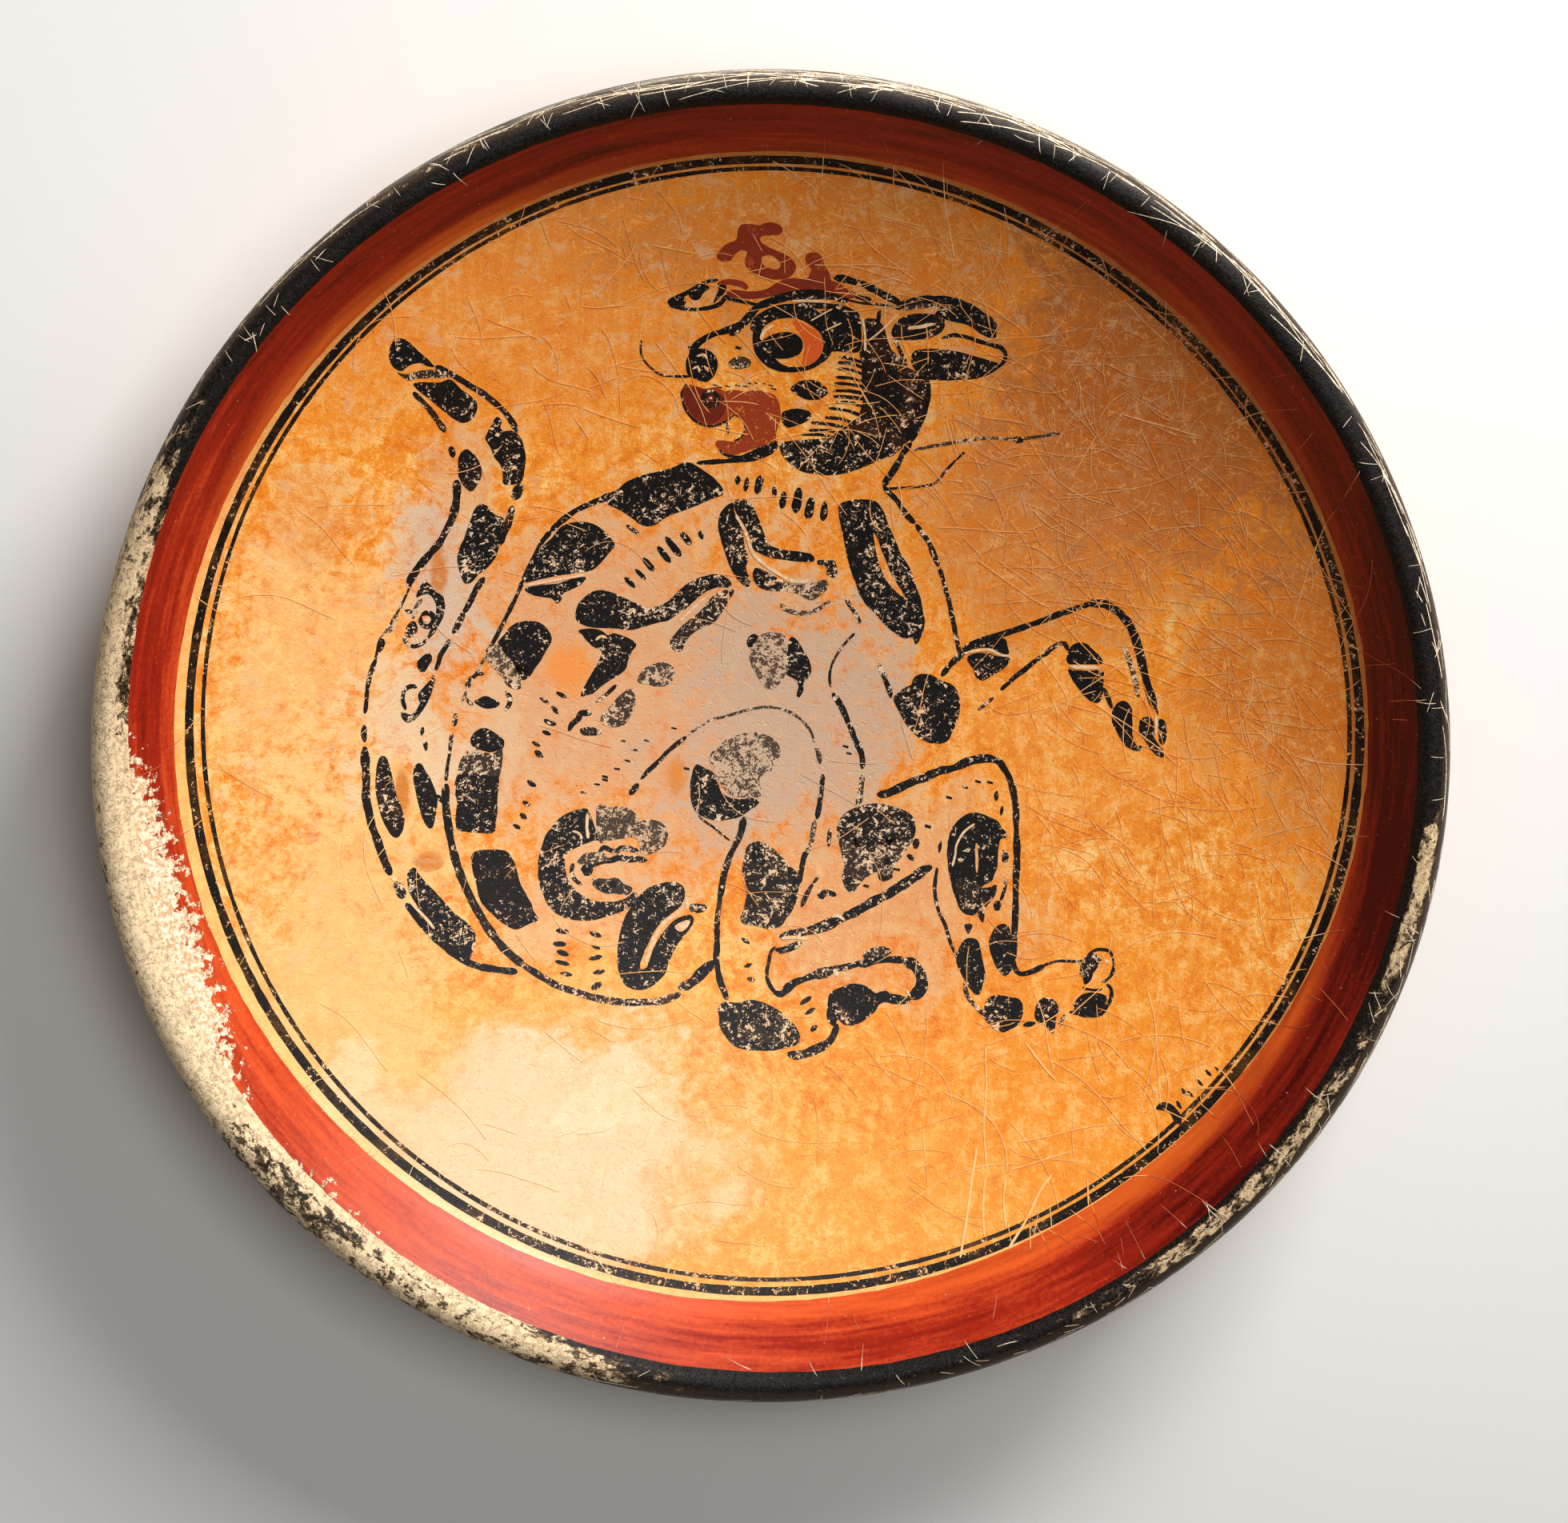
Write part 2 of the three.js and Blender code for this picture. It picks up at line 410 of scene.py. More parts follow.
def closeMaterial(sheet, colour, roughness, height, bumpSize, shine=0.5):
    # bumpSize is the depth of the relief in millimetres
    bump = sheet.node("ShaderNodeBump", None, {"Strength": 1.0, "Distance": bumpSize * mm, "Height": height})
    values = {"Base Color": colour, "Roughness": roughness, "Normal": bump, "Specular IOR Level": shine}
    shader = sheet.node("ShaderNodeBsdfPrincipled", None, values)
    sheet.node("ShaderNodeOutputMaterial", None, {"Surface": shader}, None)


def dishPlace(sheet):
    # where a point lies in the frame of the dish, in millimetres
    return sheet.scaled(sheet.node("ShaderNodeTexCoord", out="Object"), 1 / mm)


def markValue(sheet, name):
    # a value that each painted mark has for itself
    return sheet.node("ShaderNodeAttribute", {"attribute_name": name}, out="Fac")


def roundDish(sheet, angle, stops):
    # a value that changes by bearing, from 0 at the right, counted anticlockwise
    share = (angle / math.tau + 1).maths("FRACT")
    shares = [(bearing / 360, value) for bearing, value in stops]
    return sheet.node("ShaderNodeValToRGB", {"stops": shares}, {"Fac": share})


scratchWays = [(0.4, 13.0), (1.5, 47.0), (2.6, 91.0)]     # turn in radians, shift
scratchStretch = 0.3


def scratchLines(sheet, place, scale, width):
    # short hair lines in a few directions
    lines = 0
    x, y, _ = sheet.parts(place)
    for turn, shift in scratchWays:
        along = x * math.cos(turn) + y * math.sin(turn)
        aside = y * math.cos(turn) - x * math.sin(turn)
        run = sheet.joined(along * scratchStretch + shift, aside, shift)
        field = sheet.cloud(run, scale, 2.0, 0.5, 0.6)
        broken = sheet.eased(sheet.cloud(sheet.joined(x + shift, y, 0.0), scale * 1.3, 1.0), 0.48, 0.56)
        lines = (sheet.eased((field - 0.5).size(), width * 0.4, width, 1.0, 0.0) * broken).most(lines)
    return lines


groundLook = {
    "deep": "#dd7212",
    "mid": "#ef9228",
    "pale": "#fac878",
    "speck": "#6e3a18",
    "bloom": "#dab68c",
    "net": "#f4ac5c",
    "browned": "#9a5320",
    "paleAndLit": "#f7bb74",
    # amounts that change across the floor: shares of x and y, from, to, amount at each end
    "raggedness": (0.3, 1.0, -108.0, -62.0, 0.3, 1.0),
    "bloomAmount": (-0.8, 1.0, -40.0, 50.0, 0.0, 0.4),
    "netAmount": (0.77, 0.64, -30.0, 50.0, 0.12, 0.45),
    "speckAmount": (0.77, 0.64, -40.0, 70.0, 0.0, 0.6),
    "tintDrift": 44.0,
    "smallTint": 8,          # a tint narrower than this keeps its drawn place
    "haloFrom": 127.5,       # the strip beyond the lines, which has a colour of its own
    "haloTo": 130.0,
    # from browned to pale in that strip, by bearing: partly the slip's own colour, partly painted shade
    # under the wall at the right and painted light at the left
    "side": [(0, 0.0), (120, 0.1), (165, 1.0), (290, 1.0), (325, 0.35), (360, 0.0)],
    # x, y, half width, half height, colour, strength
    "tints": [
        (-10, -110, 90, 34, "#f5ac42", 0.4),
        (66, -84, 66, 46, "#f0901e", 0.4),
        (-50, -84, 66, 46, "#f5b65a", 0.6),
        # painted highlight: this whitish tint stands for the lamp's sheen on the glossy slip at the lower
        # left
        (-54, -98, 54, 34, "#f6d0ac", 0.7),
        (-96, -46, 34, 58, "#f3c078", 0.75),
        (-104, 18, 28, 40, "#f6c07c", 0.6),
        (-60, 100, 60, 40, "#e28534", 0.6),
        # these four darker brown tints at the top and the upper right are partly stain and partly painted
        # shade, where the wall shades the floor
        (12, 112, 70, 30, "#c26c28", 0.65),
        (86, 78, 50, 56, "#ac5620", 0.8),
        (120, 14, 30, 52, "#bd5f20", 0.6),
        (60, 44, 44, 32, "#c97434", 0.65),
        (70, -8, 40, 26, "#f0943c", 0.4),
        (-26, 8, 64, 54, "#d8a278", 0.85),
        (4, 0, 38, 38, "#c6a58a", 0.9),
        (24, -40, 42, 28, "#d8a478", 0.6),
        (-76, 30, 14, 26, "#cdb8a2", 0.75),
        (-68, 58, 12, 14, "#d8ab80", 0.6),
        (-84, -4, 14, 24, "#e2c6a2", 0.7),
        (-60, 4, 10, 22, "#dcb68e", 0.6),
        (-45, -40, 24, 20, "#e2ae7c", 0.65),
        # painted highlight, in the sheen at the lower left
        (-96, -86, 16, 12, "#f8dcb4", 0.4),
        (-104, 50, 12, 16, "#dc9a5c", 0.4),
        # painted highlight, in the sheen at the lower left
        (-40, -84, 20, 12, "#fae2b8", 0.3),
        (-22, -13, 3, 6, "#d87c08", 0.8),
        (-83.5, -15, 2.2, 8, "#c86c00", 0.85),
        (-78, -31, 4, 3, "#c86c00", 0.8),
        (-74.6, 37, 2.6, 8, "#c86c00", 0.85),
        (-46, 12, 7, 8, "#ee8a26", 0.75),
    ],
}


def acrossFloor(sheet, x, y, key):
    shareX, shareY, *reach = groundLook[key]
    return sheet.eased(x * shareX + y * shareY, *reach)


def makeGroundGroup():
    # the orange slip, which also shows through the worn paint
    tree = bpy.data.node_groups.new("groundSlip", "ShaderNodeTree")
    for title, kind in (("Color", "Color"), ("Roughness", "Float"), ("Height", "Float")):
        tree.interface.new_socket(title, in_out="OUTPUT", socket_type="NodeSocket" + kind)
    sheet = Sheet(tree)
    place = dishPlace(sheet)
    x, y, _ = sheet.parts(place)
    drift = sheet.node("ShaderNodeTexNoise", None, {"Vector": place, "Scale": 0.05, "Detail": 4.0}, "Color")
    drift = sheet.vector("SUBTRACT", drift, (0.5, 0.5, 0.5))
    drifted = sheet.vector("ADD", place, sheet.scaled(drift, groundLook["tintDrift"]))
    blotch = sheet.cloud(drifted, 0.15, 5.0, 0.6)
    mottle = sheet.cloud(place, 0.42, 6.0, 0.72, 0.5)
    strokes = sheet.cloud(sheet.joined(x, y * 0.22, 0.0), 0.5, 4.0, 0.6, 0.3)
    grain = sheet.cloud(place, 2.1, 3.0, 0.6)
    tone = mottle * 0.4 + blotch * 0.42 + strokes * 0.18 + (grain - 0.5) * 0.24
    stops = [(0.38, groundLook["deep"]), (0.5, groundLook["mid"]), (0.6, groundLook["pale"])]
    colour = sheet.ramp(tone, stops)
    # tints lie in clumps with ragged edges, which are softer towards the bottom, so that the painted
    # highlight at the lower left stays smooth
    flatX, flatY, _ = sheet.parts(drifted)
    ragged = (mottle - 0.5) * 1.5 + (blotch - 0.5) * 2.0 + (grain - 0.5) * 0.3
    ragged = ragged * acrossFloor(sheet, x, y, "raggedness")
    for middleX, middleY, halfX, halfY, tint, strength in groundLook["tints"]:
        acrossX, acrossY = (x, y) if halfX < groundLook["smallTint"] else (flatX, flatY)
        away = sheet.joined((acrossX - middleX) / halfX, (acrossY - middleY) / halfY, 0.0)
        amount = sheet.eased(sheet.vector("LENGTH", away, out="Value"), 0.15, 1.3, 1.0, 0.0)
        torn = amount + ragged * sheet.eased(amount, 0.0, 0.4)
        colour = sheet.mixed(sheet.eased(torn, 0.1, 0.9, 0.0, strength), colour, linear(tint))
    # lime has bloomed in patches, but hardly at the lower right
    bloom = sheet.cloud(sheet.vector("ADD", place, (40.0, 9.0, 0.0)), 0.2, 5.0, 0.7, 0.4)
    where = acrossFloor(sheet, x, y, "bloomAmount")
    colour = sheet.mixed(sheet.eased(bloom, 0.54, 0.64) * where, colour, linear(groundLook["bloom"]))
    # fine roots have left a net of paler lines, most of all at the upper right
    net = scratchLines(sheet, place, 0.3, 0.014)
    where = acrossFloor(sheet, x, y, "netAmount")
    colour = sheet.mixed(net * where, colour, linear(groundLook["net"]))
    speckles = sheet.cloud(place, 1.3, 2.0, 0.7)
    where = acrossFloor(sheet, x, y, "speckAmount")
    colour = sheet.mixed(sheet.eased(speckles, 0.64, 0.72) * where, colour, linear(groundLook["speck"]))
    rough = sheet.cloud(place, 0.3, 5.0, 0.7)
    pits = sheet.eased(sheet.cloud(place, 1.1, 2.0, 0.5), 0.3, 0.4)
    relief = pits * 0.5 + mottle * 0.3 + grain * 0.2 + net * 0.2
    made = sheet.node("NodeGroupOutput", out=None)
    sheet.feed(made.inputs[0], colour)
    sheet.feed(made.inputs[1], rough * 0.3 + 0.24)
    sheet.feed(made.inputs[2], relief)
    return tree


groundGroup = makeGroundGroup()


def groundParts(sheet):
    made = sheet.node("ShaderNodeGroup", {"node_tree": groundGroup}, None, None)
    return [Wire(sheet, s) for s in made.outputs]


def makeGroundMaterial():
    material, sheet = openMaterial("groundSlip")
    place = dishPlace(sheet)
    colour, rough, relief = groundParts(sheet)
    # beyond the lines the slip is paler at the left and browner at the right: partly its own colour, partly
    # painted light on the lit left and painted shade where the wall shades the right
    beyond = sheet.eased(sheet.radius(place), groundLook["haloFrom"], groundLook["haloTo"])
    halo = beyond * (sheet.cloud(place, 0.3, 3.0) * 0.6 + 0.3)
    side = roundDish(sheet, sheet.bearing(place), groundLook["side"])
    edge = sheet.mixed(side, linear(groundLook["browned"]), linear(groundLook["paleAndLit"]))
    colour = sheet.mixed(halo, colour, edge)
    closeMaterial(sheet, colour, rough, relief, 0.1, 0.42)
    return material


clayColours = {
    "dark": "#8f6440",
    "mid": "#bd9064",
    "pale": "#d8b48a",
    "temper": "#ead8bd",
    "smoke": "#5d4a3a",
}


def makeClayMaterial():
    material, sheet = openMaterial("firedClay")
    place = dishPlace(sheet)
    body = sheet.cloud(place, 0.16, 8.0, 0.62)
    grit = sheet.cloud(place, 1.6, 3.0, 0.6)
    stops = [(0.3, clayColours["dark"]), (0.52, clayColours["mid"]), (0.7, clayColours["pale"])]
    colour = sheet.ramp(body * 0.7 + grit * 0.3, stops)
    temper = sheet.node("ShaderNodeTexVoronoi", None, {"Vector": place, "Scale": 0.9}, "Distance")
    colour = sheet.mixed(sheet.eased(temper, 0.1, 0.22, 0.7, 0.0), colour, linear(clayColours["temper"]))
    smoke = sheet.eased(sheet.cloud(place, 0.02, 3.0), 0.5, 0.68, 0.0, 0.6)
    colour = sheet.mixed(smoke, colour, linear(clayColours["smoke"]))
    closeMaterial(sheet, colour, grit * 0.2 + 0.72, grit * 0.6 + body, 0.35)
    return material


outsideColours = {
    "dark": "#a9622f",
    "mid": "#cf8a4a",
    "pale": "#e6b27a",
    "fireCloud": "#6b4a34",
    "worn": "#dcbd94",
}


def makeOutsideMaterial():
    material, sheet = openMaterial("outsideSlip")
    place = dishPlace(sheet)
    _, _, z = sheet.parts(place)
    # the rag and the pebble ran round the outside
    run = sheet.around(sheet.bearing(place), 26.0, z * 0.9 + sheet.radius(place) * 0.5)
    wiped = sheet.cloud(run, 0.5, 5.0, 0.6)
    mottle = sheet.cloud(place, 0.2, 7.0, 0.64)
    stops = [(0.32, outsideColours["dark"]), (0.5, outsideColours["mid"]), (0.68, outsideColours["pale"])]
    colour = sheet.ramp(wiped * 0.5 + mottle * 0.5, stops)
    cloudy = sheet.eased(sheet.cloud(place, 0.017, 3.0), 0.52, 0.66, 0.0, 0.75)
    colour = sheet.mixed(cloudy, colour, linear(outsideColours["fireCloud"]))
    worn = sheet.eased(sheet.cloud(place, 0.9, 5.0, 0.7), 0.6, 0.68, 0.0, 0.7)
    colour = sheet.mixed(worn, colour, linear(outsideColours["worn"]))
    closeMaterial(sheet, colour, mottle * 0.3 + 0.34, wiped * 0.5 + mottle * 0.5 - worn * 0.3, 0.25)
    return material


redLook = {
    "dark": "#480805",
    "mid": "#962210",
    "bright": "#da5222",
    "thin": "#d2601f",
    "bareDark": "#c79c70",
    "barePale": "#f6e2c4",
    # amounts that change across the band: from and to radius, amount at each
    "innerGlow": (131.0, 138.0, 0.1, -0.04),
    "shadeReach": (133.0, 137.5),
    "thinReach": (132.4, 135.8, 1.3, 0.0),
    "flakeReach": (132.0, 142.0, -0.24, 0.08),
    # how bright the paint is, by bearing: partly the paint's own tone, partly painted light and shade,
    # brightest on the lit lower left and darkest on the shaded right
    "strength": [(0, 0.09), (14, 0.1), (32, 0.3), (45, 0.37), (75, 0.42), (92, 0.38), (106, 0.31),
                 (128, 0.34), (150, 0.4), (165, 0.52), (180, 0.54), (205, 0.7), (240, 0.7), (262, 0.7),
                 (285, 0.7), (300, 0.62), (318, 0.46), (332, 0.38), (346, 0.22), (360, 0.09)],
    # how much darker the outer part is, by bearing
    "shade": [(0, 0.1), (60, 0.0), (250, 0.0), (290, 0.16), (318, 0.28), (340, 0.2), (360, 0.1)],
    # how thin the inner edge is, so that the orange slip shows through, by bearing
    "thinness": [(0, 0.0), (30, 0.12), (45, 0.3), (60, 0.1), (100, 0.15), (116, 0.6), (136, 0.62),
                 (150, 0.35), (162, 0.0), (262, 0.0), (285, 0.2), (302, 0.32), (315, 0.6), (330, 0.45),
                 (345, 0.1), (360, 0.0)],
    # share of the paint that is gone at the lip, by bearing
    "flaking": [(0, 0.0), (168, 0.05), (176, 0.25), (181, 0.66), (186, 0.94), (191, 1.02), (202, 1.0),
                (208, 0.8), (212, 0.56), (218, 0.34), (223, 0.5), (228, 0.5), (234, 0.34), (254, 0.34),
                (266, 0.1), (360, 0.0)],
}


def makeRedMaterial():
    material, sheet = openMaterial("redPaint")
    place = dishPlace(sheet)
    angle = sheet.bearing(place)
    radius = sheet.radius(place)
    # the brush went round, so its streaks are long along the band
    streak = sheet.cloud(sheet.around(angle, 5.0, radius * 0.6), 0.7, 4.0, 0.6)
    brushed = sheet.cloud(sheet.around(angle, 14.0, radius * 2.0), 0.7, 3.0)
    grain = sheet.cloud(place, 0.9, 6.0, 0.7)
    # the tone by bearing holds painted light and shade as well as the paint's own tone
    base = roundDish(sheet, angle, redLook["strength"])
    inward = sheet.eased(radius, *redLook["innerGlow"])
    shade = roundDish(sheet, angle, redLook["shade"]) * sheet.eased(radius, *redLook["shadeReach"])
    tone = base + inward - shade + (streak - 0.5) * 1.05 + (brushed - 0.5) * 0.45 + (grain - 0.5) * 0.5
    colour = sheet.ramp(tone, [(0.0, redLook["dark"]), (0.45, redLook["mid"]), (0.9, redLook["bright"])])
    thin = roundDish(sheet, angle, redLook["thinness"]) * sheet.eased(radius, *redLook["thinReach"])
    colour = sheet.mixed(thin * (streak * 2.4 - 0.25), colour, linear(redLook["thin"]))
    # flakes are off to the pale slip below the lip, most of all at the left
    chips = sheet.cloud(place, 0.4, 9.0, 0.72)
    share = roundDish(sheet, angle, redLook["flaking"])
    loss = chips + (share - 0.5) * 0.55 + sheet.eased(radius, *redLook["flakeReach"])
    pin = sheet.eased(sheet.cloud(place, 1.2, 3.0, 0.7), 0.69, 0.73, 0.0, 0.6)
    bare = sheet.eased(loss, 0.62, 0.64).most(pin)
    grainy = sheet.eased(grain, 0.4, 0.6)
    under = sheet.mixed(grainy, linear(redLook["bareDark"]), linear(redLook["barePale"]))
    colour = sheet.mixed(bare, colour, under)
    roughness = sheet.blended(bare, streak * 0.2 + 0.24, 0.6)
    relief = streak * 0.3 + brushed * 0.2 + grain * 0.2 - bare * 0.6
    closeMaterial(sheet, colour, roughness, relief, 0.12, 0.2)
    return material


lipLook = {
    "black": "#0c0a09",
    "soft": "#241e1a",
    "buff": "#b18c5f",
    "cream": "#ecd0a6",
    "crestBrown": "#76604e",
    "scratchSheenGrey": "#c4bcae",
    "grime": "#8d6d4c",
    "crack": "#4e3a2a",
    "chalk": "#f6e4c6",
    # where one zone of the lip passes into the next: radii, or heights for the last
    "middleFrom": (143.0, 144.8),
    "brownReach": (146.6, 149.0, 0.0, 0.3),
    "outerFrom": (147.0, 148.6),
    "scratchSheenFrom": (148.8, 149.8),
    "underside": (50.0, 50.9, 1.0, 0.0),
    # how far the black is rubbed off, by bearing: along the inner edge, in the middle and outside
    "inner": [(0, 0.1), (140, 0.2), (150, 0.25), (157, 0.6), (163, 0.8), (168, 0.66), (175, 0.7),
              (180, 0.92), (186, 0.97), (216, 1.0), (232, 0.98), (246, 0.85), (258, 0.3), (300, 0.1),
              (360, 0.1)],
    "middle": [(0, 0.3), (24, 0.2), (100, 0.28), (136, 0.4), (148, 0.48), (156, 0.8), (170, 0.96),
               (184, 1.0), (212, 1.0), (217, 0.78), (226, 0.7), (233, 0.82), (252, 0.84), (262, 0.46),
               (286, 0.44), (300, 0.55), (309, 0.78), (318, 0.76), (329, 0.76), (333, 0.58), (338, 0.62),
               (343, 0.82), (352, 0.84), (356, 0.5), (360, 0.3)],
    "outer": [(0, 0.5), (30, 0.54), (96, 0.56), (130, 0.62), (150, 0.64), (159, 0.85), (176, 0.96),
              (188, 0.84), (196, 0.8), (206, 1.0), (212, 0.9), (217, 0.76), (226, 0.74), (234, 0.8),
              (252, 0.78), (262, 0.5), (300, 0.4), (340, 0.4), (360, 0.5)],
    # how silvery the outer edge is, by bearing: partly scratches, partly a painted highlight where the lamps
    # catch the crest
    "scratchSheen": [(0, 0.5), (20, 0.75), (70, 0.8), (96, 0.55), (112, 0.4), (140, 0.45), (156, 0.0),
               (250, 0.0), (290, 0.3), (330, 0.5), (360, 0.5)],
    # from buff to cream, by bearing
    "paleness": [(0, 0.6), (136, 0.5), (168, 0.75), (186, 1.0), (244, 1.0), (268, 0.7), (360, 0.6)],
}


def makeLipMaterial():
    material, sheet = openMaterial("lipBlack")
    place = dishPlace(sheet)
    angle = sheet.bearing(place)
    radius = sheet.radius(place)
    _, _, z = sheet.parts(place)
    # wear runs round the lip more than across it, from the inside over to the outside
    turn = sheet.node("ShaderNodeMath", {"operation": "ARCTAN2"}, [z - lipMiddleZ, radius - lipMiddleR])
    across = turn * -lipHalf
    run = sheet.around(angle, 70.0, across)
    fleck = sheet.cloud(run, 0.5, 9.0, 0.74, 0.3)
    fine = sheet.cloud(place, 1.5, 5.0, 0.75)
    inner = roundDish(sheet, angle, lipLook["inner"])
    middle = roundDish(sheet, angle, lipLook["middle"])
    outer = roundDish(sheet, angle, lipLook["outer"])
    rubbed = sheet.blended(sheet.eased(radius, *lipLook["middleFrom"]), inner, middle)
    outside = sheet.eased(radius, *lipLook["outerFrom"]).most(sheet.eased(z, *lipLook["underside"]))
    rubbed = sheet.blended(outside, rubbed, outer)
    loss = fleck * 0.8 + fine * 0.2 + (rubbed - 0.5) * 0.5
    bare = sheet.eased(loss, 0.61, 0.63)
    thin = sheet.eased(loss, 0.55, 0.62, 0.0, 0.3)
    black = sheet.mixed(sheet.eased(fine, 0.4, 0.66), linear(lipLook["black"]), linear(lipLook["soft"]))
    black = sheet.mixed(thin, black, linear(lipLook["buff"]))
    browned = sheet.eased(radius, *lipLook["brownReach"])
    black = sheet.mixed(browned, black, linear(lipLook["crestBrown"]))
    # the outer edge is silvery grey in long thin strokes: partly rubbed scratches, partly a painted
    # highlight along the crest, most at the upper right
    scratchSheen = roundDish(sheet, angle, lipLook["scratchSheen"]) * sheet.eased(radius, *lipLook["scratchSheenFrom"])
    strokes = sheet.eased(sheet.cloud(sheet.around(angle, 9.0, across * 2.4), 1.1, 5.0, 0.7), 0.42, 0.6)
    black = sheet.mixed(scratchSheen * strokes, black, linear(lipLook["scratchSheenGrey"]))
    # the bared slip is grained and finely cracked
    grime = sheet.cloud(run, 0.9, 8.0, 0.72)
    paleness = roundDish(sheet, angle, lipLook["paleness"])
    pale = sheet.mixed(paleness, linear(lipLook["buff"]), linear(lipLook["cream"]))
    dirty = sheet.eased(grime, 0.44, 0.62) * (paleness * -0.4 + 0.88)
    pale = sheet.mixed(dirty, pale, linear(lipLook["grime"]))
    cracks = scratchLines(sheet, place, 0.6, 0.03)
    pale = sheet.mixed(cracks * (paleness * -0.3 + 0.7), pale, linear(lipLook["crack"]))
    pale = sheet.mixed(sheet.eased(fine, 0.36, 0.42, 0.6, 0.0), pale, linear(lipLook["chalk"]))
    colour = sheet.mixed(bare, black, pale)
    roughness = sheet.blended(bare, fine * 0.2 + 0.34, 0.6)
    relief = fleck * 0.3 + fine * 0.2 - bare * 0.4 - cracks * 0.3
    closeMaterial(sheet, colour, roughness, relief, 0.2, 0.16)
    return material


inkLook = {
    "soft": "#181413",
    "thin": "#66503e",
    "bare": "#f0dabb",
    "faded": "#b08c6c",
    "fading": 0.55,          # how far a nearly gone mark fades
    # name, black, brown, paleness of the bared ground, wear by bearing or none where each mark has its own
    "thick": ("thickLineInk", "#120c08", "#4a2f10", 0.3,
              [(0, 0.2), (40, 0.2), (90, 0.05), (150, 0.05), (200, 0.0), (238, 0.1), (250, 0.55),
               (258, 0.25), (290, 0.25), (302, 0.0), (328, 0.0), (340, 0.15), (360, 0.2)]),
    "narrow": ("thinLineInk", "#160e08", "#55340f", 0.3,
               [(0, 0.15), (60, 0.12), (120, 0.05), (200, 0.15), (232, 0.25), (252, 0.55), (262, 0.3),
                (300, 0.1), (360, 0.15)]),
    "figure": ("figureInk", "#0c0b0b", "#46220e", 0.55, None),
}


def makeInkMaterial(name, dark, brown, paleness, wearStops):
    # black slip paint, worn back to the ground
    material, sheet = openMaterial(name)
    place = dishPlace(sheet)
    ground, groundRough, relief = groundParts(sheet)
    if wearStops:
        tone = sheet.eased(sheet.cloud(place, 0.12, 4.0), 0.4, 0.6)
        wear = roundDish(sheet, sheet.bearing(place), wearStops)
    else:
        tone = markValue(sheet, "tone")
        wear = markValue(sheet, "wear")
    fleck = sheet.cloud(place, 0.75, 6.0, 0.7, 0.4)
    fine = sheet.cloud(place, 2.6, 3.0, 0.7)
    patchy = sheet.cloud(place, 0.14, 3.0)
    scratch = scratchLines(sheet, place, 0.5, 0.04)
    gone = sheet.eased(wear, 0.4, 0.8)
    loss = fleck * 0.5 + fine * 0.28 + patchy * 0.22 + wear * 0.13 + scratch * 0.075 - 0.012
    bare = sheet.eased(loss, 0.6, 0.62)
    thin = sheet.eased(loss, 0.55, 0.61, 0.0, 0.3)
    black = sheet.mixed(sheet.eased(fine, 0.4, 0.7), linear(dark), linear(inkLook["soft"]))
    inked = sheet.mixed(tone * sheet.eased(patchy * 0.5 + fleck * 0.5, 0.42, 0.58), black, linear(brown))
    inked = sheet.mixed(thin.most(gone * inkLook["fading"]), inked, linear(inkLook["thin"]))
    paled = sheet.eased(fine, 0.4, 0.6, paleness - 0.25, paleness + 0.25)
    worn = sheet.mixed(paled, ground, linear(inkLook["bare"]))
    worn = sheet.mixed(gone * inkLook["fading"], worn, linear(inkLook["faded"]))
    colour = sheet.mixed(bare, inked, worn)
    roughness = sheet.blended(bare, fine * 0.2 + 0.3, groundRough)
    closeMaterial(sheet, colour, roughness, relief * 0.4 - bare * 0.4, 0.12, 0.25)
    return material


figureRedColours = {
    "maroon": "#5c1710",
    "orange": "#d4561f",
    "wash": "#8a2814",
}


def makeFigureRedMaterial():
    material, sheet = openMaterial("figureRed")
    place = dishPlace(sheet)
    ground, _, relief = groundParts(sheet)
    tone = markValue(sheet, "tone")
    wear = markValue(sheet, "wear")
    wash = sheet.cloud(place, 0.35, 6.0, 0.68)
    fine = sheet.cloud(place, 1.8, 4.0, 0.7)
    red = sheet.mixed(tone, linear(figureRedColours["maroon"]), linear(figureRedColours["orange"]))
    washed = sheet.eased(wash, 0.4, 0.65, 0.0, 0.6) * (tone * -1.0 + 1.0)
    red = sheet.mixed(washed, red, linear(figureRedColours["wash"]))
    bare = sheet.eased(wash * 0.5 + fine * 0.5 + wear * 0.4, 0.62, 0.72, 0.0, 0.85)
    colour = sheet.mixed(bare, red, ground)
    closeMaterial(sheet, colour, fine * 0.2 + 0.32, relief * 0.4 - bare * 0.4, 0.12, 0.25)
    return material


paleColours = {
    "light": "#f0d8b4",
    "buff": "#d9ae7c",
}


def makePaleMaterial():
    material, sheet = openMaterial("bareSlipAndGlint")
    place = dishPlace(sheet)
    ground, _, _ = groundParts(sheet)
    fine = sheet.cloud(place, 1.2, 5.0, 0.7)
    mottled = sheet.eased(fine, 0.4, 0.6)
    pale = sheet.mixed(mottled, linear(paleColours["light"]), linear(paleColours["buff"]))
    colour = sheet.mixed(0.25, pale, ground)
    closeMaterial(sheet, colour, fine * 0.2 + 0.45, fine, 0.05)
    return material


rootColours = {
    "onFloor": "#f8cb8c",
    "redFaint": "#a02a10",
    "redStrong": "#d98a5c",
    "lipPale": "#f0dfc2",
    "lipBuff": "#b39673",
    "redFrom": (131.2, 131.8),   # the colour changes between these radii
    "lipFrom": (141.0, 143.0),
}


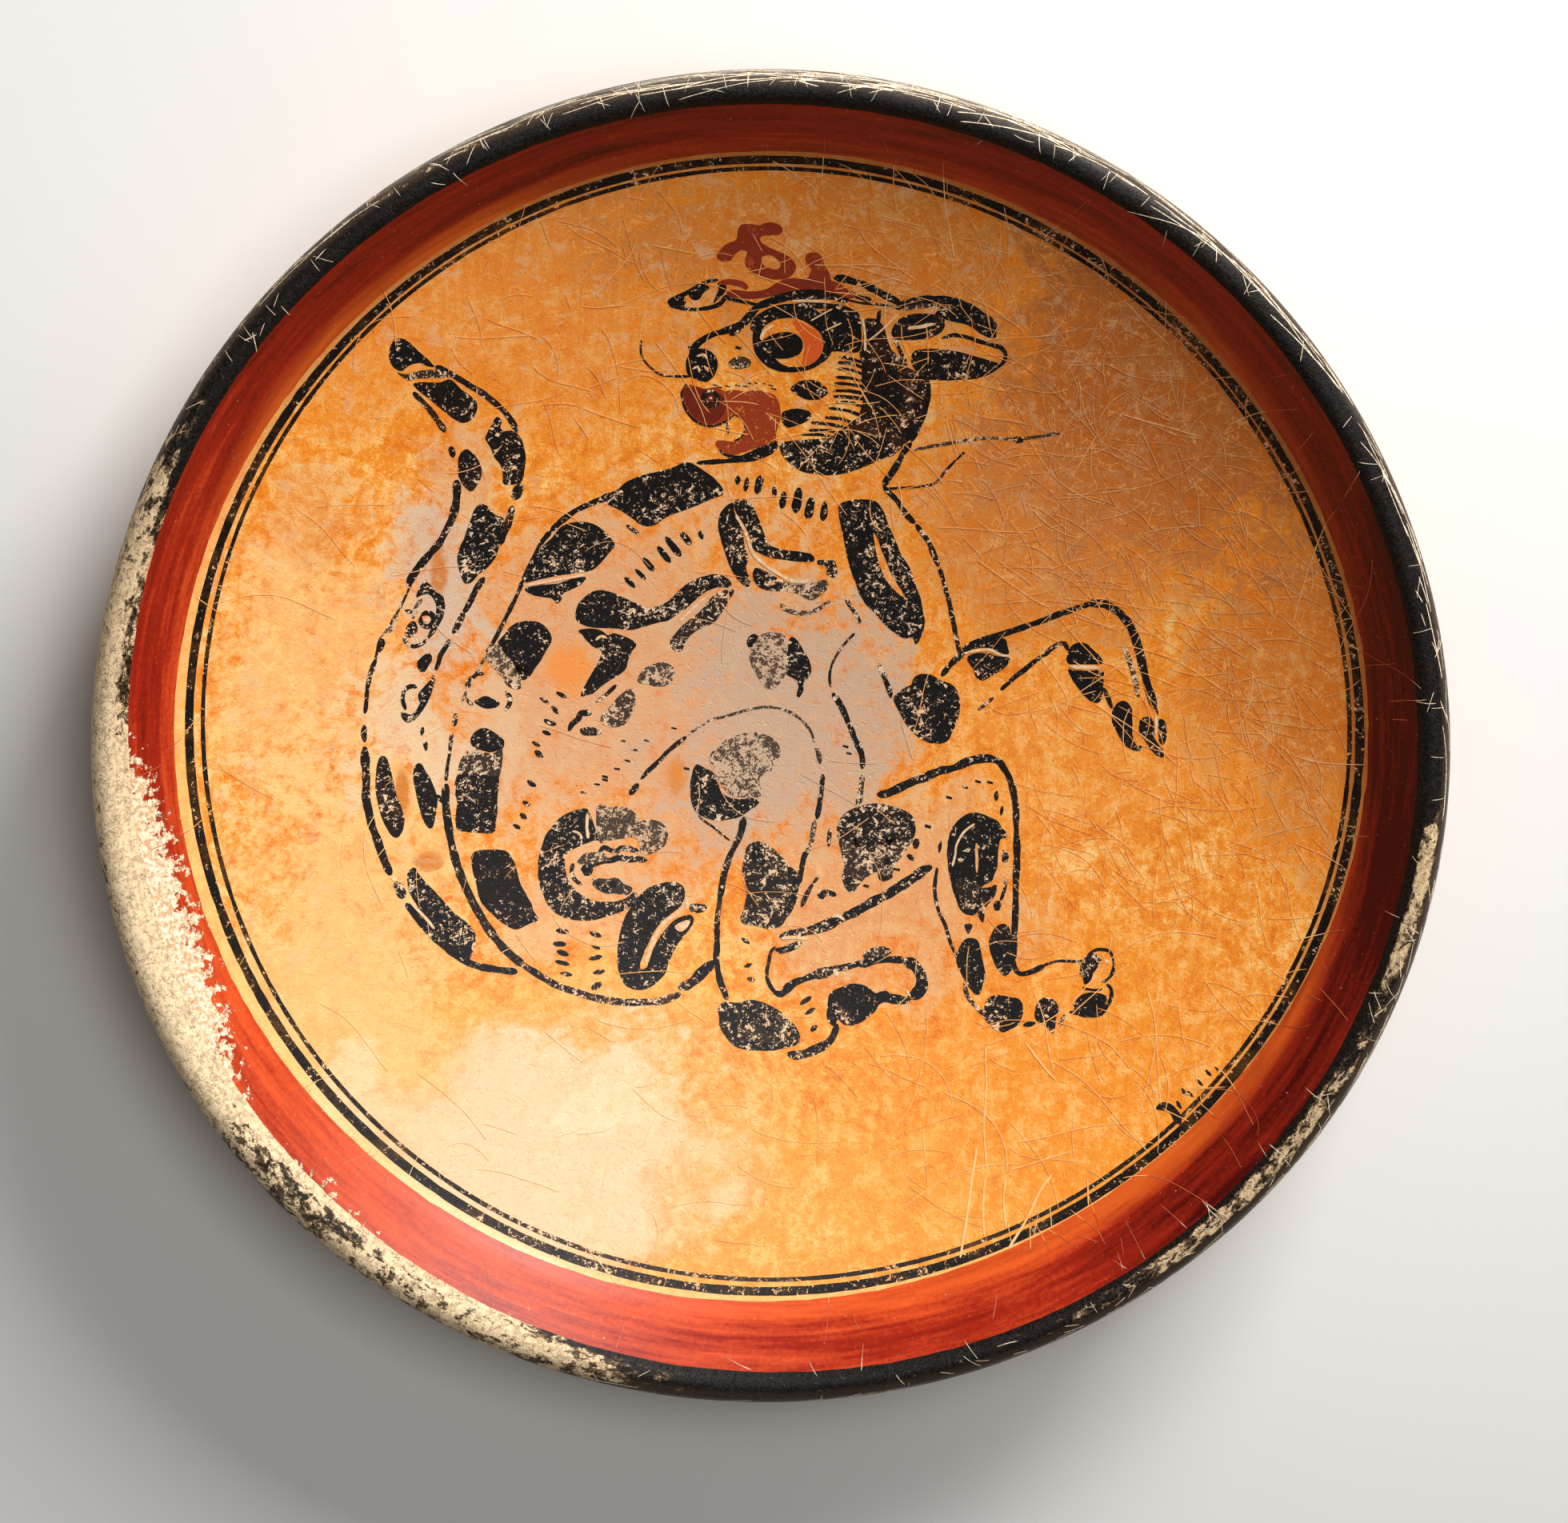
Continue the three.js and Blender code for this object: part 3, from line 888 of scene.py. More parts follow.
def makeRootMaterial():
    # where a root lay, the surface is a little paler than what is round it
    material, sheet = openMaterial("rootMark")
    place = dishPlace(sheet)
    radius = sheet.radius(place)
    ground, _, _ = groundParts(sheet)
    tone = markValue(sheet, "tone")
    fine = sheet.cloud(place, 1.6, 4.0, 0.7)
    onFloor = sheet.mixed(tone, ground, linear(rootColours["onFloor"]))
    onRed = sheet.mixed(tone * 0.7, linear(rootColours["redFaint"]), linear(rootColours["redStrong"]))
    mottled = sheet.eased(fine, 0.4, 0.65)
    onLip = sheet.mixed(mottled, linear(rootColours["lipPale"]), linear(rootColours["lipBuff"]))
    colour = sheet.mixed(sheet.eased(radius, *rootColours["redFrom"]), onFloor, onRed)
    colour = sheet.mixed(sheet.eased(radius, *rootColours["lipFrom"]), colour, onLip)
    closeMaterial(sheet, colour, fine * 0.2 + 0.45, fine, 0.05)
    return material


clayMaterial = makeClayMaterial()
groundMaterial = makeGroundMaterial()
outsideMaterial = makeOutsideMaterial()
redMaterial = makeRedMaterial()
lipMaterial = makeLipMaterial()
thickInk = makeInkMaterial(*inkLook["thick"])
thinInk = makeInkMaterial(*inkLook["narrow"])
figureInk = makeInkMaterial(*inkLook["figure"])
figureRed = makeFigureRedMaterial()
paleMaterial = makePaleMaterial()
rootMaterial = makeRootMaterial()
print("finishes ready")

# Skins and bands

skinLook = {
    "stepsAround": 300,
    "slipThickness": 0.5,
    "paintThickness": 0.05,
    "lipExtra": 0.03,        # how much thicker the lip's black is, so that it covers the edge of the red
    "groundOut": 133.0,
    "groundSteps": 70,
    "outsideFrom": 63.0,
    "outsideSteps": 44,
    "bandInner": 131.6,
    "bandOuter": 143.0,
    "bandSteps": 14,
    "bandWobble": 0.9,
    "bandWaves": (131.6, [(1, 0.48, 152), (2, 0.75, 20), (3, 0.38, -11), (4, 0.32, -2)]),
    "lipInner": 142.7,
    "lipDrop": 5.0,          # how far the black runs down the outside
    "lipSteps": 36,
    "lipWobble": 0.8,
    "lipWaves": (142.7, [(1, 0.28, -9), (2, 0.82, -78), (3, 0.11, 0), (4, 0.22, -41)]),
    # name, ink, middle, width, wobble, waves
    "lines": [
        ("thick_line", thickInk, 129.5, 1.85, 0.7,
         (129.4, [(1, 0.30, 48), (2, 0.37, 0), (3, 0.41, -10), (4, 0.24, -4)])),
        ("thin_line", thinInk, 127.25, 0.95, 0.5,
         (127.4, [(1, 0.72, 43), (2, 0.29, -17), (3, 0.43, -6), (4, 0.13, -12)])),
    ],
    "lineSteps": 3,
}


def asDrawn(radius, waves):
    # an outline measured near a radius, less the part of it that comes from the dish's own shape
    fade = (radius / dishForm["rimRadius"]) ** dishForm["waveFade"]
    return list(waves) + [(lobes, -size * fade, towards) for lobes, size, towards in dishForm["radialWaves"]]


def makeRing(name, material, inner, outer, height, thickness, across, innerWaves=(), outerWaves=(),
             wallHeight=None, wobble=0.0):
    tree = makeRingTree("lay" + name[0].upper() + name[1:], innerWaves, outerWaves)
    return runTree(name, tree, {
        "Inner Radius": float(inner),
        "Outer Radius": float(outer),
        "Height On Floor": float(height),
        "Height On Wall": float(height if wallHeight is None else wallHeight),
        "Thickness": float(thickness),
        "Edge Wobble": float(wobble),
        "Steps Around": skinLook["stepsAround"],
        "Steps Across": across,
        "Material": material,
    })


slip = skinLook["slipThickness"]
paint = skinLook["paintThickness"]
floorThickness = dishForm["floorThickness"]
wallThickness = dishForm["wallThickness"]

groundSkin = makeRing("ground_slip", groundMaterial, 0, skinLook["groundOut"], -slip, slip,
                      skinLook["groundSteps"])
addPiece(groundSkin, "orange_slip", "interior_slip")

outsideSkin = makeRing("outside_slip", outsideMaterial, skinLook["outsideFrom"], wallTopR, -floorThickness,
                       slip, skinLook["outsideSteps"], wallHeight=-wallThickness)
addPiece(outsideSkin, "outside_slip", "exterior_slip")

redInnerWaves = asDrawn(*skinLook["bandWaves"])
blackInnerWaves = asDrawn(*skinLook["lipWaves"])
redBand = makeRing("red_band", redMaterial, skinLook["bandInner"], skinLook["bandOuter"], -slip,
                   slip + paint, skinLook["bandSteps"], redInnerWaves, blackInnerWaves,
                   wobble=skinLook["bandWobble"])
addPiece(redBand, "red_paint", "red_band_paint")

lipEnd = wallTopR + lipSweep + skinLook["lipDrop"]
lipBand = makeRing("lip_black", lipMaterial, skinLook["lipInner"], lipEnd, -slip,
                   slip + paint + skinLook["lipExtra"], skinLook["lipSteps"], blackInnerWaves,
                   wobble=skinLook["lipWobble"])
addPiece(lipBand, "lip_black", "lip_paint")

for name, ink, middle, width, wobble, measured in skinLook["lines"]:
    waves = asDrawn(*measured)
    lineRing = makeRing(name, ink, middle - width / 2, middle + width / 2, 0.0, paint,
                        skinLook["lineSteps"], waves, waves, wobble=wobble)
    addPiece(lineRing, "black_paint", name + "_paint")

# The painted picture, mark by mark. Points are written x, y, x, y in one row
# Tone runs from black to brown, or from maroon to orange red. Wear runs from whole to nearly gone

drawing = {
    "outlineStep": 0.6,      # spacing along an outline
    "fillStep": 3.0,         # spacing of the points inside a filled mark
    "shakeSeed": 7,          # mathutils takes the time of day as its seed if it is given none
    "leftSeed": 3,           # the two sides of a line shake apart, and the swell runs by itself
    "rightSeed": 17,
    "swellSeed": 9,
    "handShake": 0.1,        # how far the hand shakes
    "shakeScale": 0.9,
    "shakeShare": 0.12,      # it shakes no more than this share of a line's width
    "swell": 0.3,            # share of the width by which a line swells and narrows
    "swellScale": 0.35,
    "taperWidths": 1.6,      # a line tapers over this many half widths at each end
    "taperShare": 0.25,      # but over no more than this share of its length
    "bluntness": 0.15,       # share of the half width that is left at the very end
    "leastStep": 0.000001,   # points nearer than this are one
    "mergeDistance": 0.0001,  # the same where marks are cut into triangles
    "inkHeight": 0.03,
    "redHeight": 0.05,
    "nostrilHeight": 0.07,
    "scratchHeight": 0.11,
    "thickness": 0.04,
    "rowShift": 0.3,         # every other row of points inside a filled mark is moved by this share
    "dotHalf": 0.4,          # a dot is a short dab: half its length and its fall, as shares of its width
    "dotFall": 0.2,
    "inkGrowth": 1.2,        # how much wider the ink's lines are than they are written
    "dabGrowth": 1.35,       # the same for a dab of two points
    "dabReach": 0.35,        # how much longer such a dab is at each end
}


def pairs(row):
    return list(zip(row[::2], row[1::2]))


# a mark is its kind, points, width, tone and wear
def pad(row, tone=0.0, wear=0.15):
    return ("fill", pairs(row), 0.0, tone, wear)


def gap(row):
    return ("gap", pairs(row), 0.0, 0.0, 0.0)


def line(row, width=0.9, tone=0.0, wear=0.15):
    return ("line", pairs(row), width, tone, wear)


def dots(row, size, tone=0.3, wear=0.2):
    half = size * drawing["dotHalf"]
    fall = size * drawing["dotFall"]
    return [line([x - half, y, x + half, y - fall], size, tone, wear) for x, y in pairs(row)]


tailMarks = [
    line([-80.7, 33.5, -83, 28.4, -84.9, 25.3, -87, 21.8, -88.2, 19.9, -89.6, 13.1], 0.5, 0.5, 0.5),
    line([-74, 83.6, -72.4, 82.6, -70.4, 81.4, -68.6, 80.2, -66.4, 78.6, -64, 77, -62, 75.2, -60, 73.4,
          -58.4, 71.4, -57.2, 69.2, -56.5, 67.6], 1.1, 0.35),
    line([-79, 77.8, -77.8, 76.2, -76.4, 74.6, -75.2, 73, -74, 71, -73, 69.4, -72.4, 68.2], 1.1, 0.8),
    line([-71.4, 64.8, -71, 63.6, -70.8, 62.2], 1.1, 0.5),
    line([-70.2, 57, -70.2, 54, -70.5, 51.4, -71.2, 48.8, -72.2, 46.4, -73.2, 44.6, -74.4, 42.4,
          -76.2, 40.4, -78.4, 37.8, -80.2, 35.4, -81.6, 32.8], 1.4, 0.45, 0.2),
    pad([-84, 86.6, -83.6, 88.8, -82.4, 90.1, -80.8, 90.2, -79, 88.8, -77.2, 86.8, -75.6, 85.2,
         -74.2, 83.4, -75.6, 83.6, -77.4, 84.4, -79.6, 84, -81.4, 82.8, -82.8, 83.4, -83.8, 84.8],
        0.1, 0.3),
    pad([-82.4, 82.4, -80.2, 80.6, -78.4, 80.8, -76, 80.9, -73, 80.8, -71, 81, -71.2, 82, -73, 82.7,
         -75.6, 82.8, -78.4, 82.5, -80.6, 82], 0.4, 0.55),
    pad([-79, 79.6, -77, 80, -75, 79.8, -73, 79.8, -71.2, 80.5, -70, 79.6, -68.6, 78, -66.6, 76.4,
         -65.2, 74.6, -65.4, 72.8, -66.4, 71, -68.4, 70.2, -70, 70.9, -71.8, 72.4, -73.6, 74, -75.4, 75.8,
         -77.4, 77.6], 0.15, 0.15),
    pad([-61, 71.4, -60, 70.4, -60.2, 68.8, -59.4, 68, -57.6, 68, -56, 66.6, -55.2, 64.4, -54.8, 61.6,
         -55.2, 58.6, -55.8, 56.2, -57.2, 55.6, -59, 55.4, -60, 56, -60, 58.6, -60.6, 60.4, -61.8, 62,
         -62.4, 64, -63.6, 66.2, -63, 68, -62, 69.8], 0.15, 0.25),
    pad([-68.6, 63.8, -67.6, 64, -66.4, 63, -65.2, 61.2, -64.6, 59.4, -64.8, 57.4, -65.8, 55.4,
         -66.8, 54.2, -67.8, 54.6, -69, 56, -69.8, 58, -69.8, 60.4, -69.6, 62.4], 0.35, 0.3),
    pad([-66.6, 49.8, -65.4, 51, -64, 51, -63, 49.6, -61.6, 48.4, -60.2, 47.8, -59.8, 46.2, -60.6, 44.2,
         -61.2, 42.2, -61.4, 40, -62.6, 37.6, -64.4, 35.8, -66, 34.6, -67.4, 33, -69, 32.8, -69.8, 34.6,
         -70.4, 37, -70.4, 39.2, -69.8, 41.4, -68.8, 43.6, -68, 46, -67.2, 48], 0.0, 0.38),
    line([-55.8, 55.6, -56.8, 54, -57.6, 52], 1.8, 0.5, 0.45),
    line([-58, 50.6, -58.6, 48, -59.2, 45.8, -60.2, 43.6, -61, 41.4], 1.2, 0.4),
    line([-64.6, 34, -66, 32, -67, 30.2, -68, 28.2, -69, 26.4, -70, 24.6, -70.9, 22.8, -71.8, 21.2],
         1.2, 0.35, 0.2),
    line([-72.4, 20, -73.4, 18.2, -74.6, 16.4, -75.2, 14.4, -75.8, 12.8], 1.0, 0.6, 0.45),
    pad([-79.8, 30, -79, 32.4, -77.8, 33.6, -76.4, 32.6, -75.4, 31, -74, 30.2, -73.4, 28, -73.8, 25.4,
         -75, 23, -76, 21.4, -77.6, 20, -77, 22, -76, 24, -75.4, 26.6, -75.6, 28.8, -77, 30.6,
         -78.6, 30.4], 0.2, 0.3),
    line([-78.8, 25.6, -77.8, 26.3, -76.6, 26, -75.9, 24.6, -76.7, 23.3, -78, 23.2, -78.9, 24.2,
          -78.8, 25.6], 1.0, 0.1, 0.3),
    pad([-82.4, 22, -81.6, 24, -80.2, 24.4, -79.6, 22.8, -80.2, 21.4, -81.8, 20.6], 0.1, 0.2),
    line([-82.8, 21, -82, 19.5, -80.6, 18.6, -79, 19, -77.6, 20], 0.8, 0.3, 0.45),
    line([-82, 27, -80.6, 26.6], 0.7),
    line([-78.6, 29.6, -79.8, 27.6, -80.6, 25], 0.8, 0.4, 0.7),
    line([-84, 26.6, -85, 23.6, -86, 22], 0.8, 0.8, 0.7),
    line([-87.5, 20.4, -88.2, 18], 1.2, 0.5),
    line([-89, 16, -90, 13.6, -90.6, 11, -91, 9, -91.2, 6.6, -91.6, 3.6], 0.8, 0.6, 0.45),
    line([-91.8, 1, -91.9, -1, -91.7, -3], 1.0, 0.2, 0.3),
    line([-91.8, -4, -91.6, -9, -91.5, -13, -91.6, -16, -91, -19, -90.4, -22, -89.4, -25, -88.4, -28,
          -87.4, -31, -86.2, -33.8], 1.5, 0.15),
    line([-85.2, -35.4, -84.4, -37, -83.4, -39.2], 1.7, 0.1),
    line([-82.9, -40.4, -80.8, -43.2, -79, -45.6, -77, -48, -75, -50, -73, -51.7, -71, -53.3, -69, -54.6,
          -66.6, -55.6, -64, -56.2, -61.6, -56.7, -58, -57.2], 1.3, 0.1),
    pad([-80, 14.6, -79.6, 15.4, -78, 16.6, -76.8, 16.6, -76.6, 15.2, -77.4, 13.8, -78.2, 12.6,
         -79.4, 12.8], 0.0, 0.2),
    pad([-77.2, 10.4, -76.4, 11.8, -76, 10.2, -76.6, 8.2, -77.4, 6, -78.6, 4, -79.6, 2.6, -80.8, 1.4,
         -82.2, 1, -83.4, 2, -83.6, 3.4, -82.6, 3.2, -81.4, 2.8, -80.2, 3.8, -79.6, 5.4, -79.8, 7.4,
         -78.6, 9], 0.1, 0.25),
    line([-80, 9, -81.4, 9.4, -82.8, 8.4, -83.2, 6.4, -82.6, 4], 0.8, 0.3, 0.4),
    pad([-89, -8, -88.4, -6.6, -87.4, -6.4, -86.6, -7.6, -86.2, -9.4, -85.6, -12, -85, -15, -84, -18,
         -83.2, -21, -83.4, -23.4, -84.4, -25.2, -85.6, -25.2, -86.8, -23.6, -88, -21, -88.8, -18,
         -89.4, -14.6, -89.4, -11], 0.3, 0.2),
    pad([-81, -10, -80.2, -8.6, -79.2, -8.8, -78.4, -10.4, -77.4, -12, -76.4, -14.6, -75.8, -17,
         -76, -19.4, -76.4, -21.6, -77, -23.6, -78, -23.4, -79, -21.6, -79.8, -19, -80.4, -16, -81, -13],
        0.1, 0.15),
    line([-76, -16, -74.8, -17.4, -73.9, -16.8], 0.8, 0.2),
    line([-78.9, -0.6, -79, -1.8], 0.7, 0.3),
    line([-78.4, -3.6, -78.2, -5.4], 0.7, 0.6, 0.4),
    line([-71.5, 2.6, -71.7, 1, -71.8, -0.4], 0.9, 0.3, 0.3),
    line([-72.4, -2, -72.7, -4.4, -73, -6.6, -73.4, -9, -73.7, -11.6, -73.8, -13], 0.7, 0.6, 0.4),
    line([-73.8, -13.6, -74, -17, -73.8, -20, -73.4, -23, -73, -26, -72.4, -29, -71.6, -32, -70.6, -35,
          -69.4, -38, -68, -41, -66.4, -44, -64.8, -46.8, -63, -49.4, -61, -51.8, -58.8, -54, -56.4, -56],
         1.5, 0.3),
    line([-57.2, -55.4, -54, -57.6, -51.6, -59.2, -49.6, -60.4, -47.4, -61.4, -45, -62.2, -42.8, -63,
          -40, -63.9, -37, -64.5, -34, -64.9, -31, -65, -28, -65, -25.4, -64.8, -22.8, -64, -21, -63.2],
         1.3, 1.0, 0.42),
    line([-21.6, -61.7, -19.6, -61.4, -17.8, -60.2, -16.2, -58.6, -14.6, -57.2, -13.2, -56],
         2.0, 0.3, 0.3),
    pad([-82.6, -34, -82, -32.8, -81, -32.4, -80, -34, -78.6, -35.8, -76.8, -37.8, -75, -39.8,
         -73.4, -41.8, -71.8, -43.6, -70, -45, -68.6, -46.4, -67.6, -48, -67.4, -50, -67.8, -51.6,
         -68.4, -53.4, -69.6, -54.3, -71.4, -53.4, -73.4, -51.8, -75.4, -50, -77, -48, -78.6, -45.4,
         -79.4, -43, -80.4, -41.2, -81.6, -39, -82.4, -37], 0.05, 0.32),
    pad([-68.4, -31, -67.8, -29.6, -66, -29.2, -63, -29.2, -60.6, -29.6, -59.4, -31, -58.4, -33,
         -57.8, -35.4, -57.2, -37.6, -56.4, -39, -55.6, -40.6, -54.8, -42, -54.4, -43.6, -53.2, -45.5,
         -54.6, -46.2, -56, -46.8, -58, -47.6, -59.6, -47.2, -61.4, -46, -63, -44.6, -64.6, -43,
         -66, -41.2, -66.8, -39.4, -67.2, -37, -67.8, -34.6, -68.2, -32.6], 0.2, 0.1),
]

backMarks = [
    pad([-38.8, 51, -37.8, 52.6, -35, 53.5, -32.4, 55.6, -29, 57, -25.6, 57.8, -22.6, 58.6, -19.8, 59.8,
         -17.8, 59.6, -15.4, 58, -13, 56.2, -11, 53.6, -11.2, 52.2, -13.4, 51.4, -16.4, 50, -20, 48.6,
         -23.6, 47.2, -25.8, 45.6, -27.6, 45, -29.8, 45.6, -31.4, 47, -34, 48.8, -36.6, 50.2], 0.0, 0.2),
    line([-32.8, 45.4, -31, 44, -29.8, 43.2], 0.8),
    line([-37.6, 51.8, -41, 50.4, -44, 49, -47, 46.8, -49.6, 44.4], 1.1),
    line([-49.6, 44.4, -51.4, 42.2, -53, 39.4, -54.6, 36, -56, 33], 0.9, 0.2),
    line([-56, 33, -57.4, 29.6, -59.4, 25.6, -61.4, 21.6, -63, 18.6, -64.4, 16.4], 0.8, 0.2, 0.2),
    line([-64.6, 15.6, -66.4, 12.4, -68.6, 8.4, -70.2, 5], 0.6, 0.6, 0.7),
    pad([-51.4, 41, -49.4, 42.8, -47.4, 45.2, -44.6, 46.3, -41.4, 46.2, -38.6, 44.9, -36.4, 42.6,
         -35.4, 40.7, -37, 38.6, -38.8, 36.4, -40.8, 34.9, -44, 34.5, -48, 33.9, -52, 33.2, -55.4, 32.6,
         -55.4, 34.4, -54.2, 37, -52.8, 39.2], 0.0, 0.25),
    pad([-55.6, 31, -52.6, 31.8, -48.8, 32, -45.4, 33, -42, 33.4, -43, 31.8, -45.2, 30.6, -47, 29.8,
         -47.6, 28, -48.6, 27.4, -49.6, 28.6, -51.8, 29, -54, 29.6], 0.05, 0.2),
    pad([-60.4, 20.6, -58.6, 22.6, -56, 23.5, -52.8, 23.2, -50.8, 21.6, -49.8, 19, -51, 16.6, -52.2, 14.4,
         -53.6, 12.4, -55, 10.4, -56.6, 9.8, -57.6, 12, -59, 14.6, -60.8, 16.6, -62, 18.4], 0.15, 0.28),
    pad([-62, 18.4, -60.8, 16.6, -59, 14.6, -57.6, 12, -56.6, 9.8, -57.4, 8, -59.4, 8.8, -61, 10.6,
         -62.8, 12.6, -64.6, 15, -64, 16.8], 0.2, 0.75),
    line([-69.2, 8.4, -68, 10.4, -66.4, 11.6, -65, 11.4], 0.8, 0.3, 0.4),
    line([-69.3, 7.2, -68.8, 5.4, -67.6, 4.4], 0.6, 0.4, 0.5),
    pad([-67.4, 5.2, -66, 6, -64.8, 6.4, -63, 5.6, -61.6, 4.4, -62.6, 3.6, -64.6, 3.4, -66, 4], 0.0, 0.2),
    line([-60.4, 7.2, -59.4, 6, -59.4, 4.4, -60.4, 2.8], 0.9, 0.2, 0.35),
    line([-56.8, 8, -58.6, 8.4, -60, 9.6, -60, 10.8], 0.8, 0.4, 0.5),
    pad([-68.2, -3.4, -67.2, -1.8, -65.4, -1, -63.8, -1.6, -62.2, -2.8, -60.8, -4.2, -61, -5.8,
         -62.2, -6.4, -64, -6.8, -65, -6.4, -66.6, -6, -68, -5], 0.0, 0.05),
    pad([-68, -5.4, -66.6, -6.2, -64, -7, -62.4, -6.6, -61.2, -6, -61.2, -9, -61.8, -12, -62.8, -14,
         -66, -14.4, -71.6, -14.4, -71.2, -11, -70.4, -8], 0.15, 0.6),
    pad([-71.6, -14, -71, -11.6, -68, -11.6, -64, -12.2, -62.2, -12.6, -62, -14.6, -62.4, -17.6,
         -62.4, -20.6, -62.8, -23, -63, -25, -64.6, -25.4, -67, -25.2, -69.6, -24.8, -71.4, -24.2,
         -71.8, -21.6, -71.4, -18, -71.8, -16], 0.05, 0.22),
    line([-33, 32.9, -31.2, 31], 0.8),
    line([-30.6, 34.8, -28.8, 32.9], 0.8),
    line([-28.9, 37.4, -26.9, 34.9], 0.9),
    line([-25.6, 40, -23.2, 36.8], 1.0),
    line([-23.8, 42.2, -20.8, 38.2], 1.1),
    line([-20.4, 43.4, -18.4, 40.8], 1.0),
    line([-16.4, 43.8, -15.8, 42.2], 0.8, 0.4, 0.3),
    line([-7.6, 56.4, -7.8, 55], 0.9),
    line([-5.6, 56, -6, 53.4], 0.8, 0.3, 0.4),
    line([-2.6, 56.4, -3.4, 52.8], 1.3),
    line([0.4, 54, 0.6, 52], 0.8, 0.4, 0.4),
    line([2.6, 52.6, 2.2, 49.4], 1.2),
    line([6, 53.6, 5.2, 48.4], 1.4),
    line([8.8, 51.4, 8, 47], 1.4),
    line([11.8, 50.4, 11.4, 46.6], 1.2),
    line([-48.6, 6.5, -47, 5.6], 0.8, 0.1),
    line([-49.8, 3.2, -48.8, 2], 0.8, 0.1),
    line([-51.8, 0.4, -50.4, -0.4, -49, -0.8], 0.9, 0.1),
    line([-51.8, -2.4, -50.6, -3], 0.8, 0.1),
    line([-53.6, -7, -52.4, -8.2], 0.9, 0.2),
    line([-54.2, -4.8, -53, -5.6], 0.7, 0.4, 0.3),
    line([-55.4, -13.8, -54, -14.8], 0.9, 0.2),
    line([-56.4, -18.6, -55.4, -19.2], 0.8, 0.1),
    line([-57, -21.4, -56.2, -22.2], 0.9, 0.3),
    line([-58.6, -23.8, -57.6, -24.4], 0.9, 0.3),
    line([-52.4, 5.4, -50.8, 4.2], 0.6, 0.6, 0.5),
    *dots([-28.6, -5, -31.4, -7.1, -33.8, -5, -22.4, -2.2, -33, -9.6, -43, -16.7, -39.9, -14.9],
          0.7, 0.6, 0.3),
    *dots([-35.4, -11.4, -38.1, -13.2, -38.1, -13.9, -19.6, -11.6], 0.8, 0.3),
]

